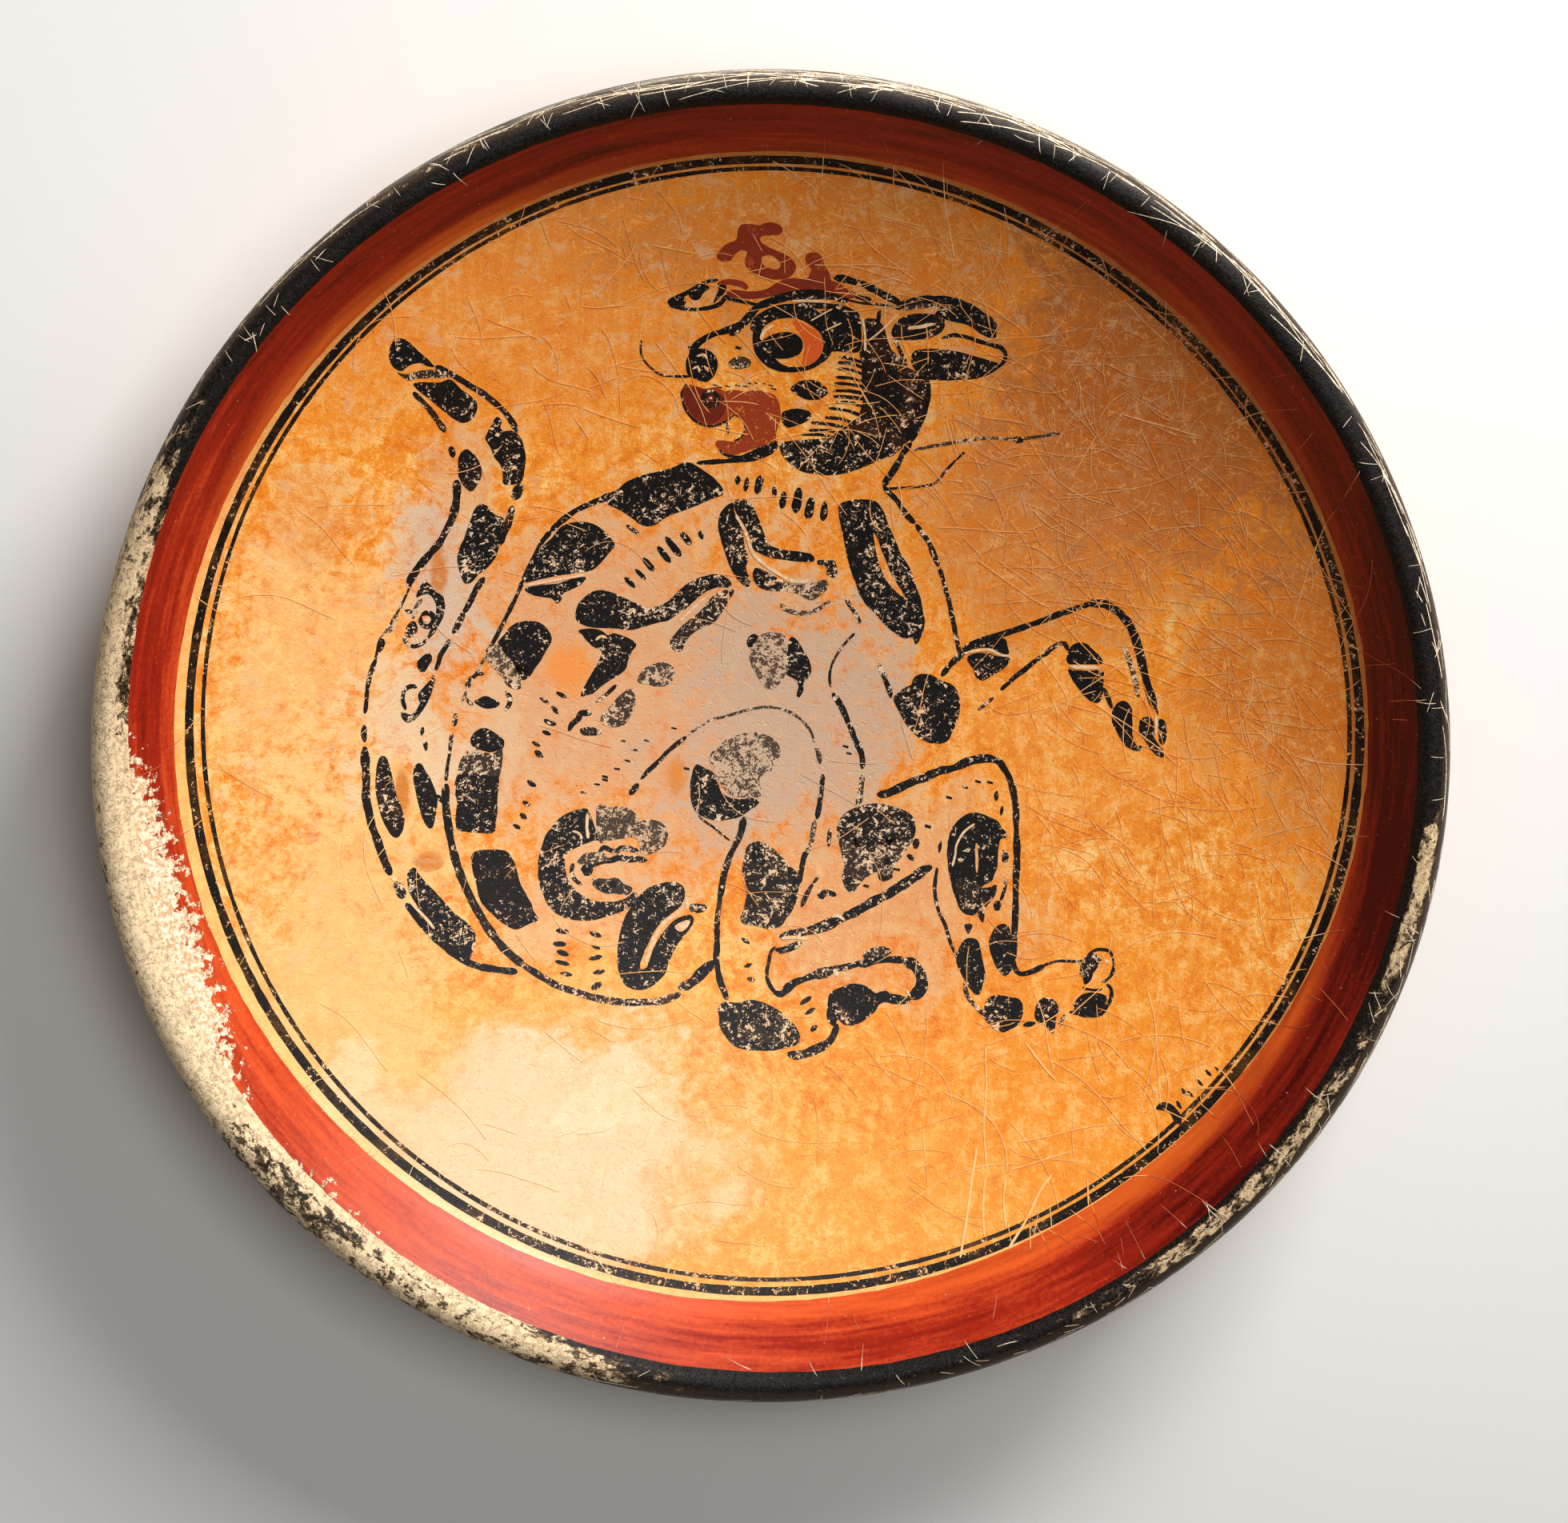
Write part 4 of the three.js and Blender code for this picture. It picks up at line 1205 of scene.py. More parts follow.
hideMarks = [
    pad([-44.4, 24, -43.8, 27, -42, 29, -39.8, 30.2, -37, 30, -34, 28.6, -30.6, 27, -28.4, 26,
         -25.6, 26.4, -23.4, 27.6, -21.4, 29.6, -19, 31.6, -15.6, 33.2, -12, 33.6, -9.4, 32, -9.6, 30.6,
         -12, 30.6, -14.6, 29.8, -17, 28, -19.4, 25.8, -21.4, 24.6, -23.4, 23, -26, 22.4, -29, 21.6,
         -32, 20.8, -35, 21.2, -38, 21.4, -40.6, 21.6, -43, 22.4], 0.1, 0.35),
    pad([-8.6, 29.8, -10.4, 26.6, -12.2, 23.4, -14.6, 21.6, -17.6, 20.2, -19.6, 18, -20.6, 15.8,
         -22.4, 16, -23.2, 18, -21.6, 20.4, -19.6, 22.4, -17, 24.4, -15.2, 26.4, -13.4, 28.6, -11, 29.9],
        0.6, 0.5),
    pad([-44, 21, -43, 20, -42, 18.6, -40.4, 17, -38.6, 16, -39.4, 13.6, -40.6, 11.4, -42, 9, -43, 7.2,
         -43.4, 5.6, -42, 5.8, -40.6, 6.2, -39, 7.6, -37, 9, -35, 10.2, -33.2, 11.8, -32.6, 14, -31.6, 16,
         -30.8, 17.4, -32, 18.6, -34, 19.6, -36, 20.2, -37.2, 19.6, -38.6, 20.8, -41, 21.4], 0.15, 0.25),
    line([-35.4, 8, -37.6, 6, -40, 4], 0.8, 0.3, 0.3),
    line([-41, 1.6, -43.4, 1.6, -44, 0.4, -45.4, -0.8, -46.2, -2.4], 1.2, 0.2, 0.25),
    pad([-39, 0.6, -36.6, 3.4, -34.6, 5.6, -32.2, 7, -31, 4.4, -32, 1.4, -33.4, -1, -36, -1.8,
         -38.4, -1.2], 0.7, 0.62),
    pad([-43.6, -2, -41, -1.6, -38.4, -2.8, -40, -3.6, -43, -3.4], 0.5, 0.5),
    pad([-30.6, 9.6, -29, 11.8, -27, 12.8, -24.6, 13.2, -22.6, 12, -22, 10, -23.4, 8.2, -25.6, 7.4,
         -28, 8, -30.2, 8.4], 0.7, 0.68),
    pad([-9, 50.4, -11.4, 48.4, -12.2, 45.2, -11.6, 42, -10.6, 38.4, -9.4, 35, -7.6, 32.2, -5.6, 30.6,
         -5, 32.4, -6, 35, -5.4, 37.4, -6.2, 40, -6.6, 43, -7.4, 45.8, -8.4, 47.8], 0.1, 0.3),
    pad([-8.6, 50.6, -6.4, 51.2, -4.4, 49.6, -3, 46.4, -1.8, 43, -0.4, 40.4, 2.6, 39.4, 5.8, 39,
         8.8, 38.4, 9.4, 36.8, 6.4, 36.6, 3, 37, 0, 37.4, -2.6, 38.4, -4.4, 39.6, -5.2, 42.6, -6.6, 45.6,
         -8, 47.8], 0.1, 0.3),
    pad([-4, 35, -2.4, 34.8, 0, 33.4, 2.4, 32, 4, 31.4, 2.6, 29.8, -0.6, 29.8, -3, 30.6, -4.4, 32.8],
        0.1, 0.35),
    pad([2, 31.6, 6, 31.2, 9, 31.8, 12, 32.4, 12.4, 30.4, 10.6, 28.6, 8.6, 27.6, 6, 29, 3, 29.8],
        0.4, 0.65),
    pad([10.2, 37, 12.6, 37, 14, 36.8, 14.6, 34.6, 14, 33, 12.4, 33.6, 12, 35.6, 10.2, 36], 0.2, 0.4),
    line([1.6, 26.6, 4, 25, 8, 24.6, 11, 26, 13, 27.6], 0.9, 0.8, 0.65),
    pad([14.8, 49.4, 15.8, 50.6, 18, 51.2, 21, 51.4, 23.4, 50.8, 25, 48.4, 26, 45.6, 27.6, 42, 29, 38.6,
         31, 35.2, 32.2, 31.6, 33.4, 28.4, 34, 25, 34.4, 22.6, 33.6, 19.6, 32.4, 17.6, 31.6, 19.2,
         29.6, 19, 27.4, 20.4, 25.4, 22, 23.4, 24.4, 21.4, 26.4, 19.8, 28.8, 18.8, 31.6, 17.6, 34.8,
         16.6, 39, 15.8, 43, 15, 47], 0.0, 0.32),
    gap([22.7, 43.6, 23.6, 42.2, 24.6, 39.4, 26.2, 35.4, 27.8, 32.2, 30, 28.6, 28.4, 29.4, 26, 32,
         24.6, 34.8, 23.4, 38.6]),
    line([24.8, 54.4, 26.4, 52.8, 28.2, 50.8, 30, 48, 32, 46], 1.0, 0.1, 0.2),
    line([32.2, 45.8, 33.4, 44, 35, 41.8, 36.2, 39, 37.4, 36], 1.0, 0.1, 0.25),
    line([37.5, 35.6, 38.4, 33, 39.2, 30, 40, 27, 40.6, 24, 41.2, 21, 41.8, 18, 42.4, 15.6],
         0.9, 0.15, 0.3),
    line([16.6, 28, 17.6, 26.2, 18.8, 24.4, 19.8, 22.2], 0.8, 0.3, 0.5),
    line([24, 13, 25, 10.6, 25.8, 8.6, 26.6, 6.4, 26.8, 5], 0.9, 0.3, 0.4),
    line([18.6, 20, 16.4, 17.6, 14.6, 15, 13.4, 12.4, 12.9, 9.6, 13.2, 7.4], 0.5, 0.8, 0.35),
    line([13.6, 6, 14.8, 4.2, 16, 2, 17, -0.4, 18, -2.8, 18.8, -5, 19.8, -7, 20.4, -9, 20.4, -11.6],
         1.1, 0.1, 0.3),
    line([20.4, -13, 20.2, -16, 19.8, -18.6, 19.2, -20], 1.1, 0.2, 0.6),
    *dots([16.6, -6.4, 17.4, -8], 0.7, 0.2),
    line([9.8, -6.4, 10.4, -8, 10.8, -10.6], 0.8, 0.5, 0.6),
    line([11.4, -13, 11.2, -16, 10.8, -19, 10.4, -21.6, 10, -23.4], 1.0, 0.2, 0.4),
    pad([-5.8, 18, -5, 19.4, -3.6, 19.6, -2.6, 18.2, -3, 16.8, -4.4, 16.2, -5.6, 16.8], 0.0, 0.35),
    pad([3.6, 18.2, 4.4, 19, 5.6, 18.2, 7, 15.8, 8.4, 13.2, 8.8, 11, 8.2, 9.4, 7, 8.4, 7, 6.6, 6, 4.8,
         5.4, 5.2, 5.8, 7.8, 4.6, 9.4, 3.4, 10, 2.4, 11.6, 2.4, 13.6, 3.4, 15.6], 0.05, 0.35),
    pad([-5, 16, -2, 19.8, 3, 19, 3, 13, 2.6, 9.6, 0.4, 7, -1.8, 7.2, -3.4, 9.6, -5, 13], 0.3, 0.82),
    line([-32.6, -17.5, -31.6, -16.4, -30.6, -15], 1.2, 0.1),
    line([-30, -14, -28, -11.8, -26, -10, -24, -7.8, -21.6, -5.8, -19.6, -4.2], 0.8, 0.3),
    line([-19.4, -4, -17.6, -2.6, -15.8, -1.6, -14, -0.4, -10, 0.6, -6, 1.8, -1, 2.6, 4, 1.4, 8, -2,
          9.6, -5.6], 0.5, 0.6, 0.62),
    pad([-17.4, -10.8, -18.4, -13, -18.8, -16, -18.6, -19, -17.6, -21.6, -15.6, -23, -13, -23.8,
         -10.4, -23.6, -7.6, -23, -5.8, -21.8, -4, -20.6, -3, -19.4, -4.6, -18.6, -7, -18.8, -9.4, -18.6,
         -11.4, -17.4, -12.6, -14.8, -13.6, -12.6, -15.4, -11.6], 0.05, 0.35),
    pad([-14.4, -9, -12, -6, -8, -4.2, -3, -4, 0.4, -6, 1.2, -9, 0, -12, -3, -14, -2.6, -18, -7, -18.4,
         -10, -17.6, -12, -15, -13.6, -12], 0.2, 0.86),
    line([-13, -8, -10, -5.6, -7, -4.4, -3, -4.2, 0, -5.6, 1, -8, 0, -11], 1.2, 0.3, 0.75),
    line([-17, -22.6, -15.4, -24, -13.4, -25.4, -11.6, -27, -9.8, -28.4], 0.45, 0.6, 0.2),
    pad([27.4, 5, 29, 6.8, 30.4, 7.8, 31.4, 8.2, 32, 9.8, 33.6, 10.8, 36, 10.6, 38, 9.4, 40, 8.8,
         41.6, 7.4, 42.4, 4.8, 42.4, 2, 41.6, -0.6, 40.8, -2.6, 39.8, -4.6, 38, -5.4, 35.4, -5.2,
         33.4, -4.2, 31.6, -2.6, 30, -0.6, 28.6, 2], 0.0, 0.28),
]

hipMarks = [
    pad([-42.2, -20.6, -44, -20.6, -46, -21.2, -48, -22.2, -49.6, -23.8, -51.4, -26, -52.4, -28.6,
         -53.2, -31.4, -53.3, -34, -52.8, -37, -48.4, -37.4, -47, -36, -47.3, -33, -47, -31, -45, -29.6,
         -42.8, -28.7, -40.6, -27.9, -39.2, -27.7, -40.2, -25.6, -41, -23.2], 0.0, 0.25),
    pad([-52.8, -37, -52.2, -40, -50.8, -42.8, -48.4, -44.9, -45, -46, -41, -46.2, -37.6, -45.3,
         -34.4, -44.4, -31.8, -42.8, -30.8, -41.2, -31.6, -40, -33, -41, -35.4, -42, -38.4, -42,
         -41, -41.6, -43.6, -40.3, -45.6, -38.2, -47, -36, -48.4, -37.4], 0.25, 0.45),
    line([-40, -27.6, -38, -27, -36, -27, -34, -26.6, -32, -26, -30.6, -26], 0.9, 0.1, 0.3),
    pad([-40, -20.4, -37, -20.2, -33.6, -20.4, -31.6, -21.6, -30, -23.4, -27.4, -23.4, -25, -24.4,
         -23.8, -26.6, -24.2, -28.8, -25.8, -30.4, -28, -31.4, -30, -31.2, -30.4, -29, -31.4, -27.4,
         -34, -27.6, -37, -28, -39.6, -28], 0.35, 0.7),
    line([-39.6, -30.6, -38.4, -29.6, -37, -30.2, -35.6, -30.6, -34.6, -29.8, -33, -30, -31.4, -30.4,
          -30.4, -31], 0.9, 0.3, 0.45),
    line([-43.6, -34.6, -42, -34, -40.4, -33.2, -38.6, -32.6, -36.8, -32.6, -35, -32, -33, -32.4,
          -31, -32.4, -28.6, -32.8], 1.2, 0.1, 0.25),
    line([-43, -35, -41.6, -34.2], 2.2, 0.0, 0.2),
    pad([-44.4, -33, -43, -31, -40, -30.6, -37.6, -31.2, -38.4, -32.4, -41, -33.4], 0.5, 0.65),
    line([-45.4, -33, -45.8, -35, -45, -36.8, -43.4, -38], 0.8, 0.9, 0.45),
    pad([-41, -36.6, -38, -36.8, -35.6, -36.6, -34, -38, -32, -39, -33, -40.6, -36, -40.2, -38, -40.2,
         -40.4, -38.8], 0.35, 0.6),
    *dots([-40.2, -37.8, -38.2, -39, -36.4, -38], 1.1, 0.3, 0.2),
    pad([-26.5, -38.4, -24, -37.8, -21.6, -38, -20.2, -39.4, -20.1, -41.4, -21, -43.4, -23, -45,
         -25, -46.6, -26.8, -48.8, -28.2, -51.4, -29.4, -54, -30.2, -56.4, -30, -57.6, -28.8, -57.2,
         -28.2, -55.6, -27.4, -53.4, -26, -50.6, -24.6, -48.8, -23, -47, -21.4, -46, -19.6, -45.4,
         -18.4, -45.6, -18, -46.6, -18.6, -48.2, -20, -50, -21.6, -52, -22.8, -54.2, -23.8, -56.4,
         -24.4, -58.6, -26, -60.2, -27.4, -61.4, -29.6, -62.3, -32, -62, -34, -60.6, -35.2, -57.6,
         -35.4, -54, -35, -50, -34, -46.4, -32.4, -43.4, -30.2, -40.6, -28, -38.9], 0.05, 0.25),
    pad([-18.8, -43, -16.8, -42.9, -15, -43.4, -15.4, -44.6, -17.4, -45, -18.8, -44.6], 0.2, 0.35),
    line([-49, -48.2, -46.8, -48.6], 0.8, 0.2),
    line([-49.6, -51.2, -47.4, -51.4], 0.9, 0.2),
    line([-48.8, -53, -46.8, -53.8], 0.8, 0.2),
    line([-49.2, -55.2, -46.6, -56], 0.7, 0.2),
    line([-48, -58, -46, -58.4], 0.7, 0.2),
    line([-41.4, -49, -39.4, -49.8], 0.8, 0.3),
    line([-41, -52, -39.6, -52.6], 0.6, 0.4),
    line([-41.6, -54.9, -39.2, -54.5], 0.8, 0.3),
    line([-40.6, -58.1, -38.6, -57.8], 0.9, 0.4),
    line([-41, -61.5, -39.4, -60.7], 1.1, 0.4),
]

legMarks = [
    line([-11.8, -40, -12.2, -43, -12.6, -46, -12.7, -49], 1.0, 0.3, 0.3),
    line([36.4, -12.4, 38.4, -11.5, 40.2, -11.2, 42.8, -10.2], 1.5, 0.1, 0.15),
    line([49, -8.5, 51.2, -9, 52.4, -10.4, 53.4, -12.4], 1.3, 0.1, 0.15),
    line([55.2, -20.5, 55.4, -24, 55.5, -28], 1.1, 0.1, 0.15),
    line([19, -44.6, 16.6, -45.7, 13.4, -47.2], 1.6, 0.1, 0.3),
    line([11, -48.2, 8.6, -49, 6, -49.6, 3.6, -50.2], 1.6, 0.3, 0.3),
    line([0.2, -63, 2, -63.5, 3.4, -62.4, 5, -60.9, 7.6, -60], 1.3, 0.2, 0.25),
    line([7, -60.1, 10, -59, 13, -58.1, 16, -57.4, 19, -56.6], 1.3, 0.2, 0.35),
    line([12, -74.9, 13.6, -73.4, 14.4, -71.6, 14.8, -70], 1.3, 0.2, 0.25),
    pad([-8, -71.8, -5.6, -71, -3.4, -70.6, -0.4, -72, 3, -72.4, 3.8, -73.4, 1.4, -74.6, -2, -74.6,
         -5, -74.2, -7, -72.6], 0.35, 0.55),
    line([-6.6, -23, -6.8, -24.4, -7.2, -26.4, -8, -28.4, -8.8, -30, -9.8, -32, -10.6, -34.4,
          -11.2, -36.6, -11.6, -39, -12, -42], 1.2, 0.15, 0.25),
    line([-12.1, -42.4, -12.4, -44, -12.6, -46], 0.8, 0.4, 0.6),
    line([-12.7, -48, -12.7, -50.4, -12.7, -53, -12.9, -55, -12.6, -57.4, -12.2, -59.6, -11.6, -61.6,
          -11, -63, -10.4, -64.8], 1.2, 0.15),
    pad([-6, -30, -4.6, -28.8, -2.4, -28.6, -1, -29.6, 1, -31, 2.6, -32.8, 4.2, -34.6, 5.6, -36,
         5.8, -38.4, 5.4, -41, 4.6, -43.4, 3.4, -45.6, 2.4, -47.6, 0.6, -48.6, -1, -48.8, -3.6, -48,
         -6.2, -47.8, -7.4, -46.4, -6.6, -44, -6, -41, -6.2, -38, -7, -35.6, -6.6, -33, -6.2, -31.4],
        0.15, 0.5),
    pad([-5, -30.4, -3, -29.4, -1.8, -31.4, -2.4, -34, -4.6, -33], 0.0, 0.35),
    line([2, -35, 4.4, -35.4, 5.4, -37.6, 5, -41, 4, -44, 2.4, -46], 1.2, 0.1, 0.4),
    line([-6.4, -35, -5.4, -38, -5, -42, -6, -45.6, -3.6, -47], 1.0, 0.2, 0.5),
    line([9.6, -24, 8.6, -30], 0.8, 0.5, 0.7),
    line([8.6, -30, 7.4, -31.6, 6.9, -33.4, 6.4, -36, 6, -38.4], 1.1, 0.3, 0.3),
    line([10.6, -36.4, 8.2, -40, 6.6, -43.6], 0.8, 0.8, 0.3),
    line([13, -26, 12.8, -29.4], 0.7, 0.8, 0.4),
    line([23.8, -17.6, 26, -17.2, 29, -15.8, 32, -14.3, 34, -13.6, 36, -12.6, 38.4, -11.5],
         1.6, 0.05, 0.2),
    line([40.2, -11.4, 42.6, -10.2, 44.6, -9.2, 46.8, -8.6, 49, -8.4, 51.2, -8.9], 1.6, 0.1, 0.2),
    line([52, -9.8, 53.4, -12, 54.3, -14.4, 54.9, -17, 55.3, -20, 55.4, -23.4], 1.2, 0.2, 0.15),
    line([55.4, -25, 55.6, -29, 55.6, -33, 55.4, -37, 55.4, -41, 55.3, -45, 55.1, -49, 55, -52,
          55, -54.6], 1.2, 0.1, 0.1),
    line([55, -54, 55.4, -56.4, 56.4, -57.4, 58, -57.2, 60, -56.4, 62, -55.2], 0.9, 0.2),
    line([61.8, -55.3, 64, -54.4, 66.4, -54, 69, -54, 70.6, -53.8], 0.5, 0.3),
    pad([15, -24, 16.4, -22, 19, -20.6, 23, -19.6, 27, -20, 30, -21, 32, -22.6, 32.6, -25, 31.8, -27.6,
         27, -28.4, 22, -29, 18, -28.6, 15.2, -28, 14.6, -26], 0.1, 0.42),
    pad([15.2, -28, 18, -28.6, 22, -29, 27, -28.4, 31.8, -27.6, 30.8, -29.6, 29.4, -31.8, 28, -33.6,
         27.4, -35.6, 26.4, -37, 24.6, -36.6, 23.6, -35.4, 21, -37, 19.6, -38.6, 18.4, -40.4, 16.8, -39.4,
         15.8, -36.6, 16.4, -34, 15.8, -31.4], 0.25, 0.56),
    line([18.4, -24.4, 22, -24, 26, -25], 1.0, 0.0, 0.35),
    line([28, -22.4, 30.4, -23.4, 31.4, -25.6], 1.6, 0.0, 0.3),
    line([22.2, -28.8, 22.6, -30.4], 1.7, 0.05, 0.2),
    line([26.2, -32.6, 26.6, -34], 1.6, 0.05, 0.3),
    line([32.8, -27.8, 32.6, -29.4], 1.3, 0.3, 0.2),
    line([31, -31.4, 32, -32.2], 1.0, 0.5, 0.2),
    line([24.2, -35.8, 25.2, -37, 27.4, -36.2], 0.9, 0.3, 0.2),
    line([16.8, -37.2, 18.4, -38], 1.6, 0.1, 0.35),
    line([20.6, -32, 21.8, -32.4], 1.0, 0.1, 0.3),
    line([10.2, -40.8, 11.2, -41.2, 11.8, -40.2, 13.2, -40.4, 14.6, -40.9], 1.1, 0.0, 0.2),
    *dots([21.4, -38.6, 28.4, -34.6, 35.4, -24.5], 0.9, 0.4),
    *dots([40.1, -17.7, 43.8, -15.2, 46.7, -13.8, 49.4, -13.9], 0.8, 0.3),
    line([50.9, -16.2, 50.8, -17.8], 0.8, 0.3),
    line([52.2, -19.6, 52, -21.2], 0.6, 0.4),
    line([38.3, -28.2, 38, -30.2], 0.6, 0.6),
    line([36.4, -33.8, 34.6, -34.6, 32.8, -36, 30.6, -37.6, 28.4, -39, 26.4, -40.4, 24, -41.6, 21.6, -43,
          19, -44.6, 16.8, -45.6], 1.8, 0.1, 0.25),
    line([15.4, -46.2, 13, -47.4, 10.6, -48.4, 8.6, -49], 2.0, 0.15, 0.3),
    line([9, -48.9, 7, -49.4, 5, -49.8], 1.6, 0.9, 0.4),
    line([6.6, -51.8, 4, -53, 2, -53.6, 0.6, -53.4], 1.4, 0.1, 0.35),
    line([4.6, -49, 3, -50, 1.6, -50.6], 1.0, 0.3, 0.5),
    line([0.6, -52.8, -0.4, -54, -0.8, -56, -1.2, -58, -1.2, -60, -0.4, -61.8, 0.6, -63, 2, -63.6,
          3.6, -63.2], 0.7, 0.5),
    line([2.8, -62.8, 3.6, -62, 4.4, -61.2], 1.6, 0.1, 0.2),
    line([4.6, -61, 6.6, -60.3, 8.6, -59.6], 1.1, 0.2, 0.3),
    line([9.4, -59.1, 11.8, -58.6, 13.4, -58.1], 1.9, 0.3, 0.4),
    line([15.6, -57.6, 18, -56.9, 20.4, -56.2, 22.6, -55.6], 1.1, 0.2, 0.4),
    line([20.8, -54.8, 23, -53.9, 25, -53.6, 27.2, -53.4], 1.9, 0.1, 0.55),
    line([20, -57, 22, -56.2, 24, -55.6, 26.4, -55.3, 28.4, -55.3, 30.4, -55.4], 1.2, 0.05, 0.2),
    line([30, -55.3, 32, -56.2, 33.2, -57.4, 34, -59, 34.2, -60.6, 33.8, -62, 32.4, -63.2, 31, -63.6],
         2.1, 0.05, 0.15),
    pad([12.6, -66, 12.8, -64, 13.6, -62.8, 15.6, -61.8, 17.8, -61, 20, -61, 22, -61.8, 23.6, -63,
         24.6, -62.6, 26, -62.4, 27, -63, 29, -63.2, 31.6, -64.2, 31.4, -65, 28.6, -65.4, 26, -65,
         24.6, -65.4, 23.6, -67, 22, -68.4, 20, -69.8, 18, -70.4, 16.4, -70.2, 15, -69, 14.6, -70,
         14, -70.6, 12.8, -69.6, 12.4, -68], 0.1, 0.25),
    line([14.8, -70.2, 14.4, -71.6, 13.8, -73, 12.8, -74.4], 1.3, 0.2),
    line([13, -74.2, 11.4, -75.2, 9.6, -76, 7.6, -76.8, 5.6, -77.2, 3.4, -76.8], 1.7, 0.2, 0.3),
    pad([-12.4, -66.6, -11, -65.2, -8, -65.4, -5, -64.8, -2, -65.4, 0.6, -66.6, 2.6, -68, 4, -69.6,
         4.8, -71, 3, -72.6, -0.4, -72.2, -3.4, -70.8, -6, -71, -8, -72, -11.8, -71, -12.2, -68.6],
        0.1, 0.45),
    pad([4.4, -69.6, 5.6, -71.2, 6.4, -73, 5.6, -74.8, 3, -75.6, 0, -76.2, -3, -76.2, -6, -76,
         -8.6, -75.2, -10.4, -73.4, -11.8, -71, -9, -71.6, -7, -72.2, -5, -74, -2, -74.4, 1.4, -74.4,
         3.6, -73.4, 4.4, -71.6], 0.25, 0.35),
    line([-6.8, -51, -5.6, -51.8], 0.8, 0.6),
    line([-6.2, -57.2, -5, -56.8], 0.7, 0.4),
    line([-5.4, -60, -4.4, -60.4], 0.9, 1.0, 0.5),
    line([6.6, -65.6, 8.6, -64.2], 0.8, 0.7),
    line([7.8, -67.8, 9.4, -66.8], 0.8, 0.7),
    line([9.1, -71.5, 9.9, -70.7], 1.0, 0.8),
    pad([40.4, -36, 39.9, -33, 39.8, -29.6, 40.2, -26.6, 41.2, -24.2, 43, -22.2, 45.4, -21, 47.4, -21.2,
         49.4, -22, 51.2, -22.8, 52, -24.2, 53.2, -25.4, 53.2, -26.6, 51.8, -27, 51.4, -29.6, 51.2, -33,
         50.6, -35.6, 49.4, -37, 47.8, -38, 47.4, -41, 46.8, -43.6, 46, -44.6, 44, -44.4, 42.6, -43,
         41.8, -41, 41, -38.6], 0.0, 0.15),
    gap([46.2, -28, 46.7, -28.2, 46.9, -33, 46.6, -35, 46.2, -33]),
    pad([41.6, -37.4, 44, -36.6, 46.6, -37, 47, -40, 46, -43, 43.6, -43, 42.4, -40.6], 0.5, 0.5),
    pad([47.4, -38.6, 49.6, -38, 51, -37.4, 50.8, -39.8, 49.4, -41.8, 48.2, -43.2, 48.4, -44.6, 48, -46.2,
         47.2, -45.4, 46.8, -43.6, 47.4, -41], 0.2, 0.25),
    line([51.3, -41.4, 51.2, -43], 1.3, 0.1),
    line([53.2, -36, 52.8, -38.6, 52, -41], 0.7, 0.7),
    line([52.4, -29.6, 53, -31, 52.6, -32.2], 1.2, 0.4),
    pad([43.8, -46.8, 45.6, -46.8, 45.2, -48.4, 44.6, -49], 0.4),
    line([37.5, -34, 37.2, -36.6, 37, -39, 37.4, -42, 38.2, -44.6, 39.4, -47, 40.2, -49.6, 41, -52,
          42.4, -54.6], 0.7, 0.4),
    pad([44.2, -50, 46.4, -50, 47.4, -51.6, 47.8, -54, 48.4, -56.4, 48.6, -58.6, 48, -60.6, 47.4, -62.4,
         46.4, -62.6, 45.2, -61.4, 44, -59.6, 42.8, -57.4, 42, -55.4, 42.2, -53.4, 43, -51.4], 0.05, 0.2),
    pad([50, -48.6, 51, -47, 52.4, -46.3, 53.8, -46.8, 54.4, -48.6, 54.6, -51, 54.8, -53.4, 55, -55.6,
         54.2, -57.2, 53.2, -58.2, 52, -57.4, 50.8, -55.6, 49.8, -53.2, 49.4, -50.8], 0.05, 0.15),
    line([43.8, -60, 44.4, -62.6, 46, -64.8, 48, -66.6, 50, -69, 51.8, -70.6], 0.8, 1.0, 0.5),
    pad([48.4, -65.6, 48.8, -64, 50, -62.8, 52, -62.4, 54, -62.8, 56, -63, 57, -64.2, 57.2, -66,
         56.8, -67.6, 56, -69, 54.4, -70, 52.4, -70.8, 51, -69.4, 50, -68.2, 48.6, -67.4], 0.15, 0.3),
    pad([60, -64.8, 60.8, -63.2, 62.4, -62.4, 64, -62.8, 65, -64, 65.2, -65.6, 64.6, -67.4, 64.4, -69.4,
         63.8, -70.6, 63, -69.6, 61.8, -68.4, 60.2, -67.8, 59.8, -66.6], 0.15, 0.25),
    line([57.6, -68.9, 59.6, -68.4], 0.9, 0.2),
    line([66.4, -66.4, 65.6, -68.4], 0.8, 1.0, 0.5),
    line([70.6, -53.8, 73, -51.4, 75, -50.9, 76.6, -51.3, 77.3, -52.6, 77.6, -54.6, 77, -56.6, 76, -57.8,
          74.8, -58.2], 0.6, 0.3),
    pad([69.8, -56.4, 70.2, -54.4, 71, -53, 72.6, -52, 74, -52, 74.8, -53.4, 74, -55, 73, -56.4,
         72.6, -57.6, 72, -58.6, 71, -59, 70.6, -57.8], 0.15, 0.25),
    line([76, -58.6, 77, -59.8, 77, -61.6, 76, -63.8, 74.8, -65.4, 73, -66, 71, -66, 69, -65.6,
          67.6, -65.4], 0.7, 0.2),
    line([70.6, -59.8, 73, -60.2, 75, -59.8], 0.5, 0.5, 0.3),
    pad([68.4, -64.4, 69.2, -62.6, 70.4, -61.4, 72, -60.8, 74, -60.8, 76, -61.4, 75.8, -63.2, 74.8, -64.8,
         73, -65.8, 70.8, -65.8, 69, -65.4], 0.1, 0.2),
]

